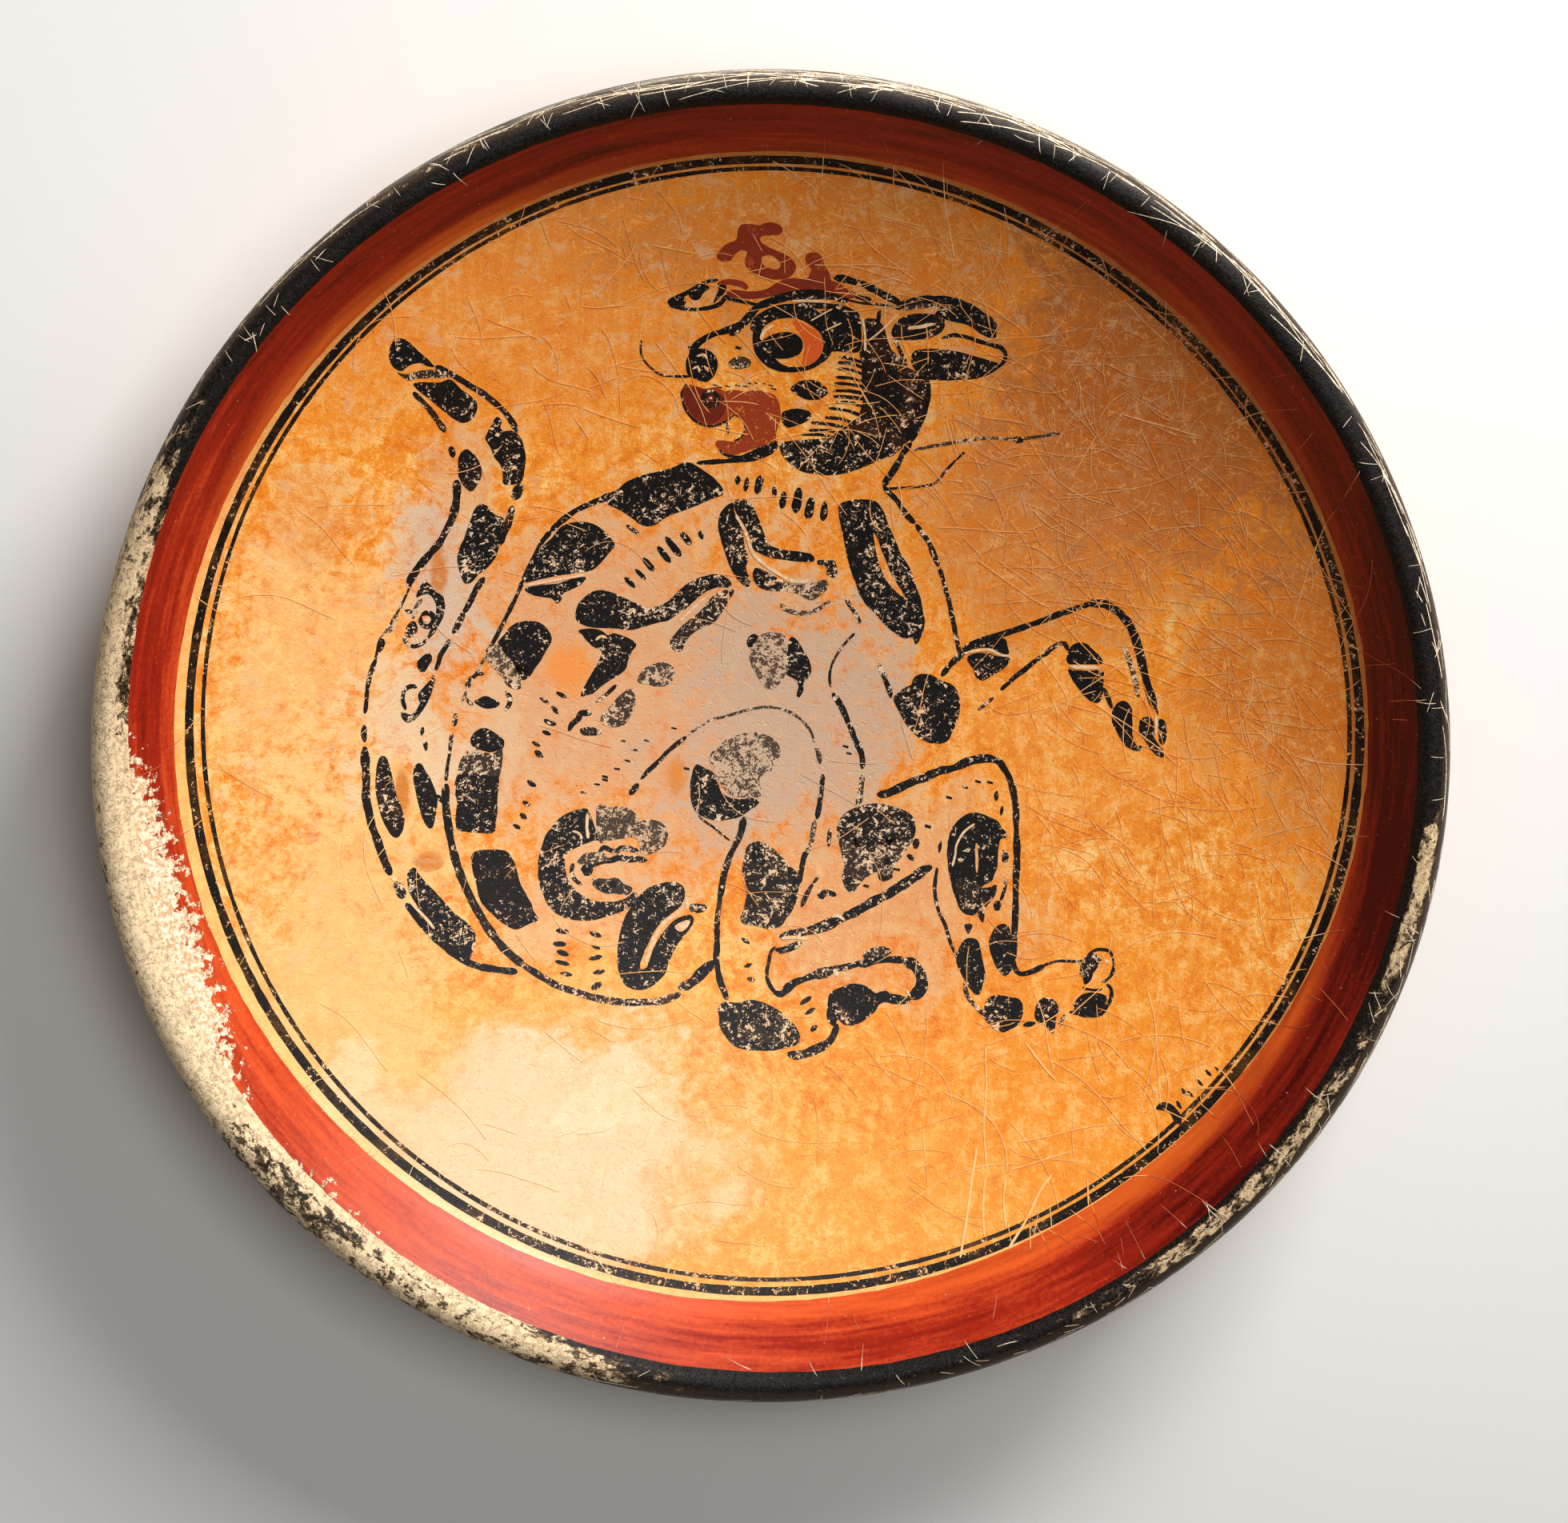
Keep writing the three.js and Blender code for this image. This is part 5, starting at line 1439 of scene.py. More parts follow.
armMarks = [
    line([38.2, 10.4, 39.4, 12, 40.6, 13.6, 42.2, 15, 43.4, 16.2, 45, 17.6], 1.1, 0.1),
    line([45, 17.6, 47, 18.9, 49.4, 19.9, 52, 20.7, 55, 21.8, 58, 23, 61, 24.2, 64, 25.6, 66.6, 26.6,
          69, 27.6, 71.6, 28.6], 1.1, 0.15),
    line([71, 28.2, 71.7, 29.3], 0.6, 0.1),
    line([71, 28.4, 74, 28.7, 76, 28, 78, 26.6, 79.8, 24.6, 81, 22.4, 82, 19.6, 82.8, 16.6, 83.6, 13.4,
          84.4, 10.4, 85.2, 7.8, 86.2, 5], 1.6, 0.1),
    line([85.8, 6, 86.6, 4.4, 86.9, 3.6], 0.5, 0.3),
    pad([42.8, 17, 44.6, 18.6, 47, 19.6, 50, 19.8, 52.4, 19.6, 53, 18, 53.4, 16.2, 52.4, 15.9, 50.4, 16.5,
         48, 17.3, 46, 17.1, 44, 16.6], 0.1, 0.2),
    pad([44, 15, 45.6, 15.9, 48.4, 16.1, 50.6, 15.5, 53.6, 15, 52.6, 13, 50.8, 11.6, 49, 10.4, 47.4, 9.6,
         46, 10.4, 45.4, 12.2, 44.4, 13.6], 0.05, 0.25),
    line([46.6, 2.8, 48, 4, 50, 5.8], 0.7, 1.0, 0.55),
    line([51.6, 7.6, 53.6, 9.6, 55, 11, 57, 12.6, 59, 14.4, 61, 16], 0.9, 1.0, 0.35),
    line([60.8, 15.8, 62.8, 17.6, 64.4, 18.8, 65.8, 19, 66.6, 17.4], 0.9, 0.8, 0.25),
    pad([66.6, 17, 67.6, 18.8, 69.4, 19.4, 71, 19, 72.4, 17.6, 73.8, 16.4, 74.2, 14.7, 70.6, 14.4,
         66.6, 14.4], 0.0, 0.05),
    pad([66.7, 13, 68, 12.9, 71, 12.9, 74.4, 13.1, 74.6, 11, 74.5, 9, 74.4, 7.2, 73.8, 5.8, 72.4, 5.6,
         71, 6.4, 69.4, 8.2, 67.8, 10.4], 0.0, 0.1),
    line([74.6, 9.2, 75.6, 7, 76.6, 4.4], 0.8, 0.6),
    pad([76.6, 3.6, 77.2, 5, 78.4, 6.2, 79.8, 6.2, 81, 4.6, 81.2, 2.2, 81.2, -0.4, 81.4, -2.4, 82, -3.4,
         83.4, -4, 83, -5, 81.6, -5, 80, -4.2, 78.6, -2.6, 77.6, -0.6, 76.6, 1.6], 0.15, 0.05),
    pad([82.6, 1.4, 83.4, 2.6, 84.6, 3, 85.8, 2.2, 86, 0.4, 86.2, -1.6, 87, -3.2, 88.4, -5, 88, -6.2,
         86.6, -5.8, 85.2, -4.4, 84, -2.6, 82.8, -0.6], 0.15, 0.15),
    pad([87, 2.6, 88.2, 2.4, 88.8, 0.8, 88.8, -1.4, 88.2, -3.4, 87.2, -2.6, 87, -0.4, 86.6, 1.2],
        0.2, 0.15),
    line([79, 19, 80, 16.4, 81, 13.6, 81.8, 10.6, 82.4, 7.4], 1.0, 1.0, 0.6),
    line([25.6, 53.9, 33.75, 54.7, 36.9, 55.9, 39, 58.75, 43, 63], 0.5, 1.0, 0.3),
    line([31.25, 63.1, 38.75, 64.7, 47.5, 66.25, 55, 66.3, 64, 68], 0.6, 1.0, 0.62),
    line([53.9, 66.2, 55.6, 66], 1.2, 0.7, 0.2),
]

headMarks = [
    line([-22.8, 97.2, -20.6, 98.2, -18, 99.6, -15.6, 101, -13.6, 101.9, -11.6, 102.2], 0.8, 0.1),
    line([-22.6, 96.6, -20, 95.8, -17, 95.4, -14, 95.7, -11.8, 96.4, -10.6, 97.4, -10, 98.6], 0.8, 0.1),
    pad([-23, 97.2, -21, 98.2, -19.4, 98.4, -18.8, 97, -19.8, 96, -21.6, 96.2], 0.05),
    pad([-18.2, 99, -16.4, 100.2, -14.6, 101, -13.6, 100.4, -15, 99.2, -15.8, 97.8, -17.2, 97.6],
        0.05, 0.2),
    pad([-11.8, 101.4, -10.4, 101.6, -9.8, 100.2, -10.6, 98.8, -11.8, 97.6, -12.8, 96.8, -12.2, 98.6,
         -11.6, 100], 0.05, 0.2),
    line([-10.4, 98.6, -9, 97.8, -6.6, 97.2, -3.8, 96.6, -2, 96], 0.7, 0.1),
    line([0, 98.2, 4, 98.9, 8, 99.2, 12, 99, 16.5, 98.2], 2.0, 0.1, 0.1),
    line([13.6, 102.8, 16, 102.5, 18.4, 101.8, 20.6, 101.2, 22.4, 100.2, 24.6, 99, 27, 97.8, 28.4, 96.8],
         1.4, 0.1, 0.1),
    line([17.4, 99.6, 19, 98.4, 22, 97.8], 0.8, 0.4),
    line([-9.2, 89.4, -7, 91.4, -5, 93.6, -3.2, 95.8, -1, 96.9, 2, 97.9, 6, 98.5, 10, 98.7, 14, 98.3,
          17, 97.6], 1.5, 0.1),
    line([17, 97.6, 20, 97, 23, 96.8, 28, 96], 0.5, 0.6),
    line([-4.4, 90.5, -3.4, 92.8, -1.2, 94.6, 2, 95.7, 6, 96.2, 10, 96.3, 14, 96, 17, 95.2, 19.4, 93.8],
         1.1, 0.05),
    pad([-4.2, 88, -4, 91, -2.8, 93.2, -0.6, 94.8, 3, 95.6, 7, 95.8, 10, 95.2, 12.6, 91, 13.4, 87,
         12.8, 84.8, 10.8, 82.8, 8, 81.4, 4.5, 80.8, 1, 81.2, -1.8, 82.8, -3.6, 85], 0.05, 0.05),
    gap([-2, 90.6, -0.6, 92.2, 1.6, 93.2, 4, 93.4, 6.4, 93, 8.6, 91.8, 10.6, 90, 11.4, 87.6, 11, 85.2,
         9.4, 83.2, 7, 82.2, 4, 82.1, 1.8, 83, 0.4, 84.4, -2, 87]),
    pad([-2.6, 87.4, -1, 89, 1.6, 90, 4.4, 90, 6.4, 88.8, 6.9, 87, 6.2, 85.2, 4.2, 84.2, 1.6, 84,
         -0.8, 84.4, -2.6, 85.6], 0.0, 0.05),
    pad([8.8, 93.6, 10.4, 94.8, 13, 95.6, 16, 95.6, 18.4, 94.8, 19.6, 93, 19.8, 90, 19.8, 87, 19, 85.6,
         16.6, 85.6, 14, 85.8, 12.4, 85.8, 12, 88, 11.6, 90, 10.4, 92], 0.0, 0.08),
    pad([20.4, 93, 22.8, 93.4, 24.6, 91.8, 25.4, 89, 26.6, 86.2, 28.8, 84, 28.6, 81.6, 24, 81.6, 20, 84,
         20.2, 89], 0.5, 0.15),
    line([23.8, 95.6, 23.4, 92, 23, 89], 0.8, 0.3),
    pad([19.8, 86, 19.9, 83, 19.9, 80, 20, 77, 20.1, 74, 19.2, 71, 16.8, 68.6, 14.2, 66.6, 14, 65.4,
         18, 66, 24, 63, 26, 61.4, 28, 62.6, 30, 64.8, 31, 65.6, 32, 67.6, 33.4, 71, 34.4, 75, 34.6, 78,
         33.5, 80.4, 26, 84], 0.65, 0.15),
    line([34.5, 79.6, 34.8, 76, 34, 72, 32.6, 68, 31, 65], 0.8, 0.1),
    line([25.6, 84, 27, 80, 27.6, 75, 27, 70, 25, 66], 1.6, 0.1, 0.2),
    line([22.8, 83, 23.6, 79, 24, 74, 23.4, 69], 1.4, 0.0, 0.2),
    line([30, 82, 30.6, 77.6, 30.4, 73, 28.8, 68.6], 1.2, 0.9, 0.5),
    line([32.6, 79, 32.8, 75.6, 31.8, 71], 0.7, 0.1, 0.2),
    pad([1.8, 64.4, 4, 64.9, 7, 65.1, 10, 65.4, 13, 65.6, 14.4, 66.8, 17, 67.2, 20, 66.8, 23, 66.4,
         26, 64.6, 26.6, 62.2, 24, 60.6, 20.6, 59, 17, 57.6, 13, 56.9, 9.6, 57.2, 7, 57.6, 4.6, 59,
         2.6, 61, 1.8, 62.8], 0.0, 0.25),
    pad([4.2, 76.8, 5.2, 78.2, 7.4, 79.1, 10, 78.8, 12, 77.4, 12.4, 76, 11, 74.8, 8.8, 74.4, 6.6, 75],
        0.05, 0.1),
    pad([2, 70.4, 2.4, 71.6, 4, 72.2, 6.4, 72.4, 8.2, 71.8, 8.8, 70.6, 7.6, 69.4, 5.4, 68.4, 3.4, 68,
         2.4, 69], 0.05, 0.1),
    line([-18.8, 78.3, -19.9, 76, -19.5, 73.4, -18.3, 71, -16.3, 69.1, -13.8, 68.4, -11.4, 68.9,
          -9.6, 70.1, -8.4, 71], 0.6, 0.1),
    line([-8.4, 71, -6.6, 70, -6, 68, -6.6, 66, -8.6, 64.6], 0.4, 0.1),
    line([-12.4, 64.4, -11, 62.1, -8.6, 61.1, -5, 61.2, -2, 62.1, 0.6, 62.9, 1, 64.6], 0.6, 0.1),
    pad([-2.4, 63.6, 0.8, 64.9, 1, 63.4, -1.4, 62.2, -5, 61.2, -8, 61, -5.6, 62], 0.0, 0.05),
    line([-10, 68.8, -9.8, 66.8], 0.5, 0.1),
    *dots([-12.6, 77.9, -11.6, 77.4, -9.8, 77.6, -7.6, 77.8, -6, 77.6, -5.2, 78.3, -3.4, 78.3, -1.8, 78.2,
           -0.2, 77.8, 0.4, 77], 0.5, 0.1),
    pad([-18.8, 84, -17.6, 85.8, -15.4, 86.4, -13.4, 85.6, -12, 83.6, -12.2, 81.2, -13.2, 79.6,
         -14.6, 78.6, -16.6, 79.2, -18.4, 80, -19, 82], 0.0, 0.2),
    line([-22, 80, -18.6, 79.9], 0.5, 0.1),
    line([-28.75, 88.4, -28.9, 85.6, -27.8, 83.1, -25, 80.6, -22, 79.9], 0.4, 0.3),
    pad([-9.6, 83, -8, 84.4, -5.4, 84.2, -4.6, 82.6, -6.6, 81.6, -8.8, 81.8], 0.5, 0.6),
    *dots([-7.4, 86.6, -17.8, 86.6], 0.9, 0.1),
    line([-18, 85, -16.4, 87.4, -13.5, 89.4, -10.3, 90.4, -7.2, 91.8, -4.9, 93.9, -3, 96], 1.2, 0.1, 0.1),
    line([-16.9, 59.7, -12.6, 60, -9.6, 60.2, -5, 60.6, -2, 61.4, 0.6, 62.8], 0.9, 0.1),
    line([31, 64.8, 29.4, 62.6, 27.6, 59, 26, 56.6, 25, 54.4], 1.2, 0.1),
    line([27.4, 95.8, 29.4, 97, 32, 97.8, 36, 98.1, 40, 97.8, 43.6, 96.4, 46.6, 94.4, 48.6, 92.4,
          49.2, 90.6], 1.5, 0.1, 0.1),
    pad([36, 94.6, 38, 96.4, 42.4, 97, 45.4, 95.8, 47.8, 93.6, 49.4, 91.4, 49.4, 89.6, 48, 89.6,
         46.2, 90.4, 44.6, 91.6, 42.6, 92.6, 39.4, 93.2], 0.0, 0.08),
    line([29, 95.6, 33, 96.6, 37, 96.4, 40, 96], 0.9, 1.0, 0.55),
    pad([26.4, 90, 27, 92, 28.6, 93.8, 31.4, 94.7, 34.6, 94.8, 37.4, 94.4, 38.2, 92.8, 37.6, 90.8,
         35.4, 89.4, 32.6, 88.8, 29.6, 88.6, 27.4, 88.8], 0.3, 0.15),
    line([37.6, 89, 40, 90, 43, 89.6, 46, 88.6, 48.6, 87.9, 50.6, 87.4, 51.6, 85.8, 51, 83.8, 48.6, 82,
          45, 80.6, 40, 80, 34, 80, 29, 80.2], 0.8, 0.15),
    pad([30.8, 84, 31.4, 86, 34, 86.6, 38, 86.6, 42, 86, 45.6, 85, 48.6, 84.2, 50, 83.6, 48, 82,
         44.6, 80.8, 40, 80.2, 35.2, 80.2, 32, 81.4], 0.1, 0.2),
    line([27, 89, 28.4, 86, 29.6, 83, 29, 80.4], 0.7, 0.3, 0.2),
]

# strokes of the fur on the cheek, each three points from the dark side out
cheekHairs = [
    (20.4, 83.2, 17.6, 84, 15, 84.6), (20.6, 81.8, 17.6, 83, 14.4, 83.2),
    (20.8, 80.2, 18, 81.4, 14.6, 81.8), (20.2, 78.9, 17.4, 79.6, 14.2, 79.8),
    (20.2, 77.6, 17, 78.2, 13.8, 78.3), (20.4, 76, 17, 76.6, 13.6, 76.6),
    (20.6, 74.7, 17, 75.2, 13.6, 75.3), (20.4, 72.8, 17.4, 74, 14, 73.8),
    (20, 70.8, 16.8, 72, 12.6, 72.6), (18.8, 68.8, 15.6, 70, 11.8, 70.4),
    (16.4, 68, 12.8, 68.8, 8.6, 69.2), (15, 66.9, 11.6, 67.4, 8.2, 67.3),
    (13.6, 65.9, 10, 66.4, 6.4, 66.4),
]
headMarks += [line(hair, 0.6, 0.1) for hair in cheekHairs]

slipMarks = [
    line([87.2, -85.6, 88.6, -84.9, 90.2, -85.2, 91.4, -86.4, 92.4, -88.6], 1.5, 0.2, -0.4),
    line([91.9, -83.8, 92.5, -84.8], 0.7, 0.5, 0.3),
    line([93, -80.9, 93.8, -81.9], 0.6, 0.5, 0.3),
    line([94.3, -81.3, 95.1, -82.1], 0.6, 0.5, 0.35),
    line([96.4, -78.6, 97.2, -79.4], 0.6, 0.5, 0.35),
    line([98.3, -76.3, 99.1, -77.1], 0.6, 0.6, 0.4),
    line([100.4, -75.5, 101.2, -76.1], 0.5, 0.6, 0.4),
]

redMarks = [
    pad([-7.3, 113.2, -6.6, 114.7, -4.6, 115, -2.8, 114.6, -0.8, 115.3, 1.4, 115, 2.5, 113.8, 2, 112.6,
         0.2, 112.4, -2, 112.2, -2.2, 110.8, 0, 109.4, 2.6, 108.2, 4.6, 106.9, 5.4, 105.2, 4.8, 103.6,
         3.2, 102.5, 0.4, 102.3, -2.6, 102.9, -4.8, 104.4, -5.8, 106.4, -5.2, 108.6, -6.6, 109, -8, 108,
         -8.8, 106.7, -10.4, 106.4, -11.8, 107.3, -11.4, 108.8, -9.8, 110.4, -7.6, 111.4], 0.18, 0.15),
    gap([-2, 107.4, -0.4, 107.9, 1.3, 106.9, 2.1, 105.5, 1.2, 104.6, -0.4, 104.8, -1.8, 105.8]),
    line([-4.6, 107, -4.4, 105.4], 1.4, 0.5, 0.2),
    pad([7.4, 107, 7.9, 108.2, 9.2, 108.5, 10.6, 108.2, 11.2, 107, 11.8, 105.4, 12.6, 104, 13, 102.4,
         13.2, 101.2, 8.4, 101, 8.2, 103, 8.8, 104.6, 8, 105.6], 0.22, 0.2),
    pad([-9.8, 99.4, -8, 99.9, -5.8, 99.6, -3.4, 99.6, -1.2, 100.1, 1, 101.4, 3.2, 102.4, 6.5, 102.7,
         10, 102.5, 13.4, 102.1, 15.6, 101, 17.2, 99.6, 18.6, 98.6, 17, 98, 14.6, 98.9, 11, 100, 6, 99.9,
         2, 99, -1, 98.2, -4, 97.8, -7, 98, -9.4, 98.4], 0.15, 0.15),
    pad([-11.6, 101.6, -10, 102.3, -7.8, 102.2, -6, 101.7, -5, 100.6, -5.4, 99.9, -7, 100.6, -9, 101.1,
         -10.6, 101], 0.22, 0.15),
    pad([5, 93, 8, 92, 10.4, 89.8, 11.2, 87.4, 10.8, 85, 9.2, 83.2, 6.8, 82.6, 7, 84.6, 7.3, 86.6,
         7, 88.6, 6, 90.4, 5, 92], 1.0, 0.1),
    pad([-19.6, 77, -18.6, 78, -16.6, 77.6, -14.6, 77, -12.4, 77.4, -10.4, 76.4, -8.4, 76.8, -6, 76.4,
         -3.6, 76.6, -1.6, 76.2, 0.4, 75.6, 1.4, 74.2, 1.9, 72, 1.8, 70, 1.2, 67.8, 0.8, 65.6, 0.8, 64.8,
         -0.4, 64.2, -3, 63.4, -6, 62.4, -8.6, 61.6, -10.6, 62, -12.2, 63.4, -12.6, 64.8, -10.8, 65,
         -9, 64.7, -7.2, 65.2, -6.2, 66.6, -6, 68.4, -6.8, 70.2, -8.4, 71, -9.8, 70, -11.8, 69, -14, 68.6,
         -16.4, 69.4, -18.4, 71.4, -19.4, 73.6, -19.8, 75.4], 0.36, 0.2),
    pad([-19.6, 77, -17.4, 77.4, -14, 76.6, -11, 75.4, -10.4, 72, -12, 69.6, -14, 68.8, -16.4, 69.6,
         -18.2, 71.6, -19.2, 73.6, -19.6, 75.4], 0.05, 0.15),
]

nostrilMarks = [
    pad([-15.8, 74.8, -15, 76.6, -13, 76.8, -11.6, 75.2, -11.9, 73.2, -13.7, 72.5, -15.4, 73.2],
        0.6, 0.1),
    gap([-14.5, 74.9, -13.9, 75.6, -13, 75.5, -12.8, 74.7, -13.3, 74, -14.2, 74.1]),
]

# pale marks: scratches worn down to the bare slip, and one painted highlight, the glint in the nostril
paleMarks = [
    # a painted highlight: the glint in the middle of the nostril
    line([-13.9, 74.9, -13.3, 74.8], 0.8),
    line([8.6, 92.8, 11.6, 94.6, 13.4, 95.6], 0.35),
    line([11.8, 90.6, 15.4, 92.4], 0.35),
    line([20, 93.6, 20.6, 90, 20.6, 86], 0.5),
    line([21.4, 88.4, 24, 90.6, 28, 94.6], 0.35),
    line([30, 91.4, 33, 91.8, 35.8, 92.6], 0.8),
    line([-2.4, 88.4, -1.6, 90.4, 0.4, 91.8], 0.7),
    line([-16.6, 84.6, -15, 85, -14.2, 83.8], 0.5),
    line([-17.6, 81.6, -16.4, 82.2, -16, 80.8], 0.5),
    line([-15, 82.4, -14, 81], 0.5),
    line([-55, 31.9, -50, 32.7, -42.4, 33.9], 0.5),
    line([-8.2, 47.6, -6.2, 44, -5.2, 40.8, -4, 38, -1.4, 35.6, 2, 33.4, 5, 32, 8.4, 32.2], 0.7),
    line([-21, 22.8, -17, 26.6, -14.6, 28.8], 0.5),
    line([-40, 18.6, -38.6, 19.6, -37.4, 19], 0.5),
    line([-42.1, -21.6, -42.3, -24.6, -42, -27.4], 0.7),
    line([-45.6, -25.6, -44, -26.2, -43.4, -27.6], 0.5),
    line([-21.8, -45, -24.4, -46.8, -26.4, -49.4, -27.8, -52.6, -29, -56], 0.9),
    pad([-22.4, -48, -20.4, -46.8, -18.8, -46.8, -19.6, -48.4, -21.2, -49.2]),
    line([-19.6, -41.4, -19.6, -44.2], 0.8),
    line([43.2, 15.8, 46, 16.6, 49, 16.9, 51.6, 15.8, 53.4, 15.6], 0.6),
    line([67, 13.8, 70, 13.7, 74, 13.8], 0.8),
    line([86.4, 3.4, 86.6, 1.2, 86.4, -1], 0.6),
    line([46, -23.6, 43.6, -25.6, 42, -28.4, 41.6, -31, 41, -33.6], 0.5),
    line([-82, -40, -80, -42.4, -78.4, -44.2, -76.6, -46.6], 0.6),
    line([-85.9, -34.2, -85.2, -35], 1.2),
    line([-61.4, 67.4, -60.6, 67], 1.2),
    line([-78, 24.8, -77.4, 24.4], 0.8),
    line([14, -58.6, 15, -58.2], 1.6),
    line([13.6, -45.9, 15, -45.5, 16.6, -46.6], 0.7),
    line([2, -50.8, 5, -50.6, 8, -51], 0.7),
    line([30.6, -62, 31.6, -63.6], 0.6),
    line([75.6, -53.2, 76.4, -53.8], 0.8),
    line([62, -66.4, 63, -66.8], 0.7),
    line([50.8, -66, 51.4, -66.4], 0.9),
    line([4.4, 97.4, 8, 97.4, 13, 97.2], 0.5),
]


def curveThrough(points, closed, step):
    # a smooth curve through the points, in nearly even steps
    count = len(points)
    made = []
    for i in range(count if closed else count - 1):
        near = [i - 1, i, i + 1, i + 2]
        near = [k % count if closed else min(max(k, 0), count - 1) for k in near]
        a, b, c, d = (Vector(points[k]) for k in near)
        pieces = max(1, round((c - b).length / step))
        for j in range(pieces):
            t = j / pieces
            square = 2 * a - 5 * b + 4 * c - d
            cube = 3 * b - a - 3 * c + d
            made.append((2 * b + (c - a) * t + square * t * t + cube * t ** 3) * 0.5)
    if not closed:
        made.append(Vector(points[-1]))
    return made


noise.seed_set(drawing["shakeSeed"])


def shaken(point, amount, seed):
    # the unsteadiness of a brush
    scale = drawing["shakeScale"]
    move = noise.noise_vector(Vector((point.x * scale, point.y * scale, seed)))
    return point + Vector((move.x, move.y)) * amount


def addRibbon(path, width, corners, faces, owner, owners):
    # one stroke of the brush: it swells, tapers at both ends and is no truer than a hand
    half = width / 2
    unsteady = min(drawing["handShake"], width * drawing["shakeShare"])
    travelled = [0.0]
    for before, after in zip(path, path[1:]):
        travelled.append(travelled[-1] + (after - before).length)
    whole = travelled[-1]
    tapered = min(half * drawing["taperWidths"], whole * drawing["taperShare"])
    scale = drawing["swellScale"]
    last = None
    for i, point in enumerate(path):
        heading = path[min(i + 1, len(path) - 1)] - path[max(i - 1, 0)]
        if heading.length < drawing["leastStep"]:
            continue
        side = Vector((-heading.y, heading.x)).normalized()
        fromEnd = min(travelled[i], whole - travelled[i])
        taper = math.sqrt(min(1, (fromEnd + drawing["bluntness"] * half) / tapered))
        spot = Vector((point.x * scale, point.y * scale, drawing["swellSeed"]))
        swell = 1 + drawing["swell"] * noise.noise(spot)
        reach = half * taper * swell
        left = shaken(point + side * reach, unsteady, drawing["leftSeed"])
        right = shaken(point - side * reach, unsteady, drawing["rightSeed"])
        index = len(corners)
        corners += [left, right]
        if last is not None:
            faces.append([last, last + 1, index + 1, index])
            owners.append(owner)
        last = index


def isInside(point, outline):
    # counts the sides of the outline to the right of the point
    inside = False
    for a, b in zip(outline, outline[1:] + outline[:1]):
        if (a.y > point.y) != (b.y > point.y):
            if point.x < a.x + (b.x - a.x) * (point.y - a.y) / (b.y - a.y):
                inside = not inside
    return inside


def areaOf(outline):
    # above 0 where the outline runs anticlockwise
    return sum(a.x * b.y - b.x * a.y for a, b in zip(outline, outline[1:] + outline[:1])) / 2


def makeMarks(name, marks, material, height, slotName, step=drawing["outlineStep"]):
    # where marks overlap, the last one is on top, and a gap on top leaves nothing
    corners = []
    faces = []
    owners = []
    fillStep = drawing["fillStep"]
    for owner, (kind, points, width, _, _) in enumerate(marks):
        path = curveThrough(points, kind != "line", step)
        if kind == "line":
            if material == figureInk and len(points) == 2:
                reach = (path[-1] - path[0]).normalized() * drawing["dabReach"]
                path = [path[0] - reach, *path[1:-1], path[-1] + reach]
                width *= drawing["dabGrowth"]
            elif material == figureInk:
                width *= drawing["inkGrowth"]
            addRibbon(path, width, corners, faces, owner, owners)
            continue
        outline = [shaken(point, drawing["handShake"], drawing["leftSeed"]) for point in path]
        if areaOf(outline) < 0:
            outline.reverse()
        start = len(corners)
        corners += outline
        faces.append(list(range(start, len(corners))))
        owners.append(owner)
        low = Vector((min(p.x for p in outline), min(p.y for p in outline)))
        high = Vector((max(p.x for p in outline), max(p.y for p in outline)))
        for row in range(int((high.y - low.y) / fillStep)):
            for column in range(int((high.x - low.x) / fillStep)):
                loose = low + Vector((column + 0.5 + drawing["rowShift"] * (row % 2), row + 0.5)) * fillStep
                if isInside(loose, outline):
                    corners.append(loose)
    faces = [face if areaOf([corners[k] for k in face]) > 0 else face[::-1] for face in faces]
    merged = drawing["mergeDistance"]
    places, _, triangles, _, _, sources = delaunay_2d_cdt(corners, [], faces, 1, merged)
    kept = []
    tones = []
    wears = []
    for triangle, source in zip(triangles, sources):
        top = max((owners[k] for k in source), default=None)
        if top is None or marks[top][0] == "gap":
            continue
        kept.append(triangle)
        tones.append(marks[top][3])
        wears.append(marks[top][4])
    mesh = bpy.data.meshes.new(name + "Flat")
    mesh.from_pydata([(p.x * mm, p.y * mm, 0) for p in places], [], kept)
    mesh.attributes.new("tone", "FLOAT", "FACE").data.foreach_set("value", tones)
    mesh.attributes.new("wear", "FLOAT", "FACE").data.foreach_set("value", wears)
    values = {"Height": height, "Thickness": drawing["thickness"], "Material": material}
    addPiece(runTree(name, paintTree, values, mesh), slotName)


paintTree = makePaintTree()
inked = [
    ("cat_tail", tailMarks),
    ("cat_back", backMarks),
    ("cat_hide", hideMarks),
    ("cat_hip", hipMarks),
    ("cat_legs", legMarks),
    ("cat_arm", armMarks),
    ("cat_head", headMarks),
    ("brush_slip", slipMarks),
]
for name, marks in inked:
    makeMarks(name, marks, figureInk, drawing["inkHeight"], "black_paint")
makeMarks("cat_reds", redMarks, figureRed, drawing["redHeight"], "red_paint")
makeMarks("cat_nostril", nostrilMarks, figureInk, drawing["nostrilHeight"], "black_paint")
makeMarks("bare_scratches", paleMarks, paleMaterial, drawing["scratchHeight"], "orange_slip")
print("picture painted")

# Marks left by roots in the ground

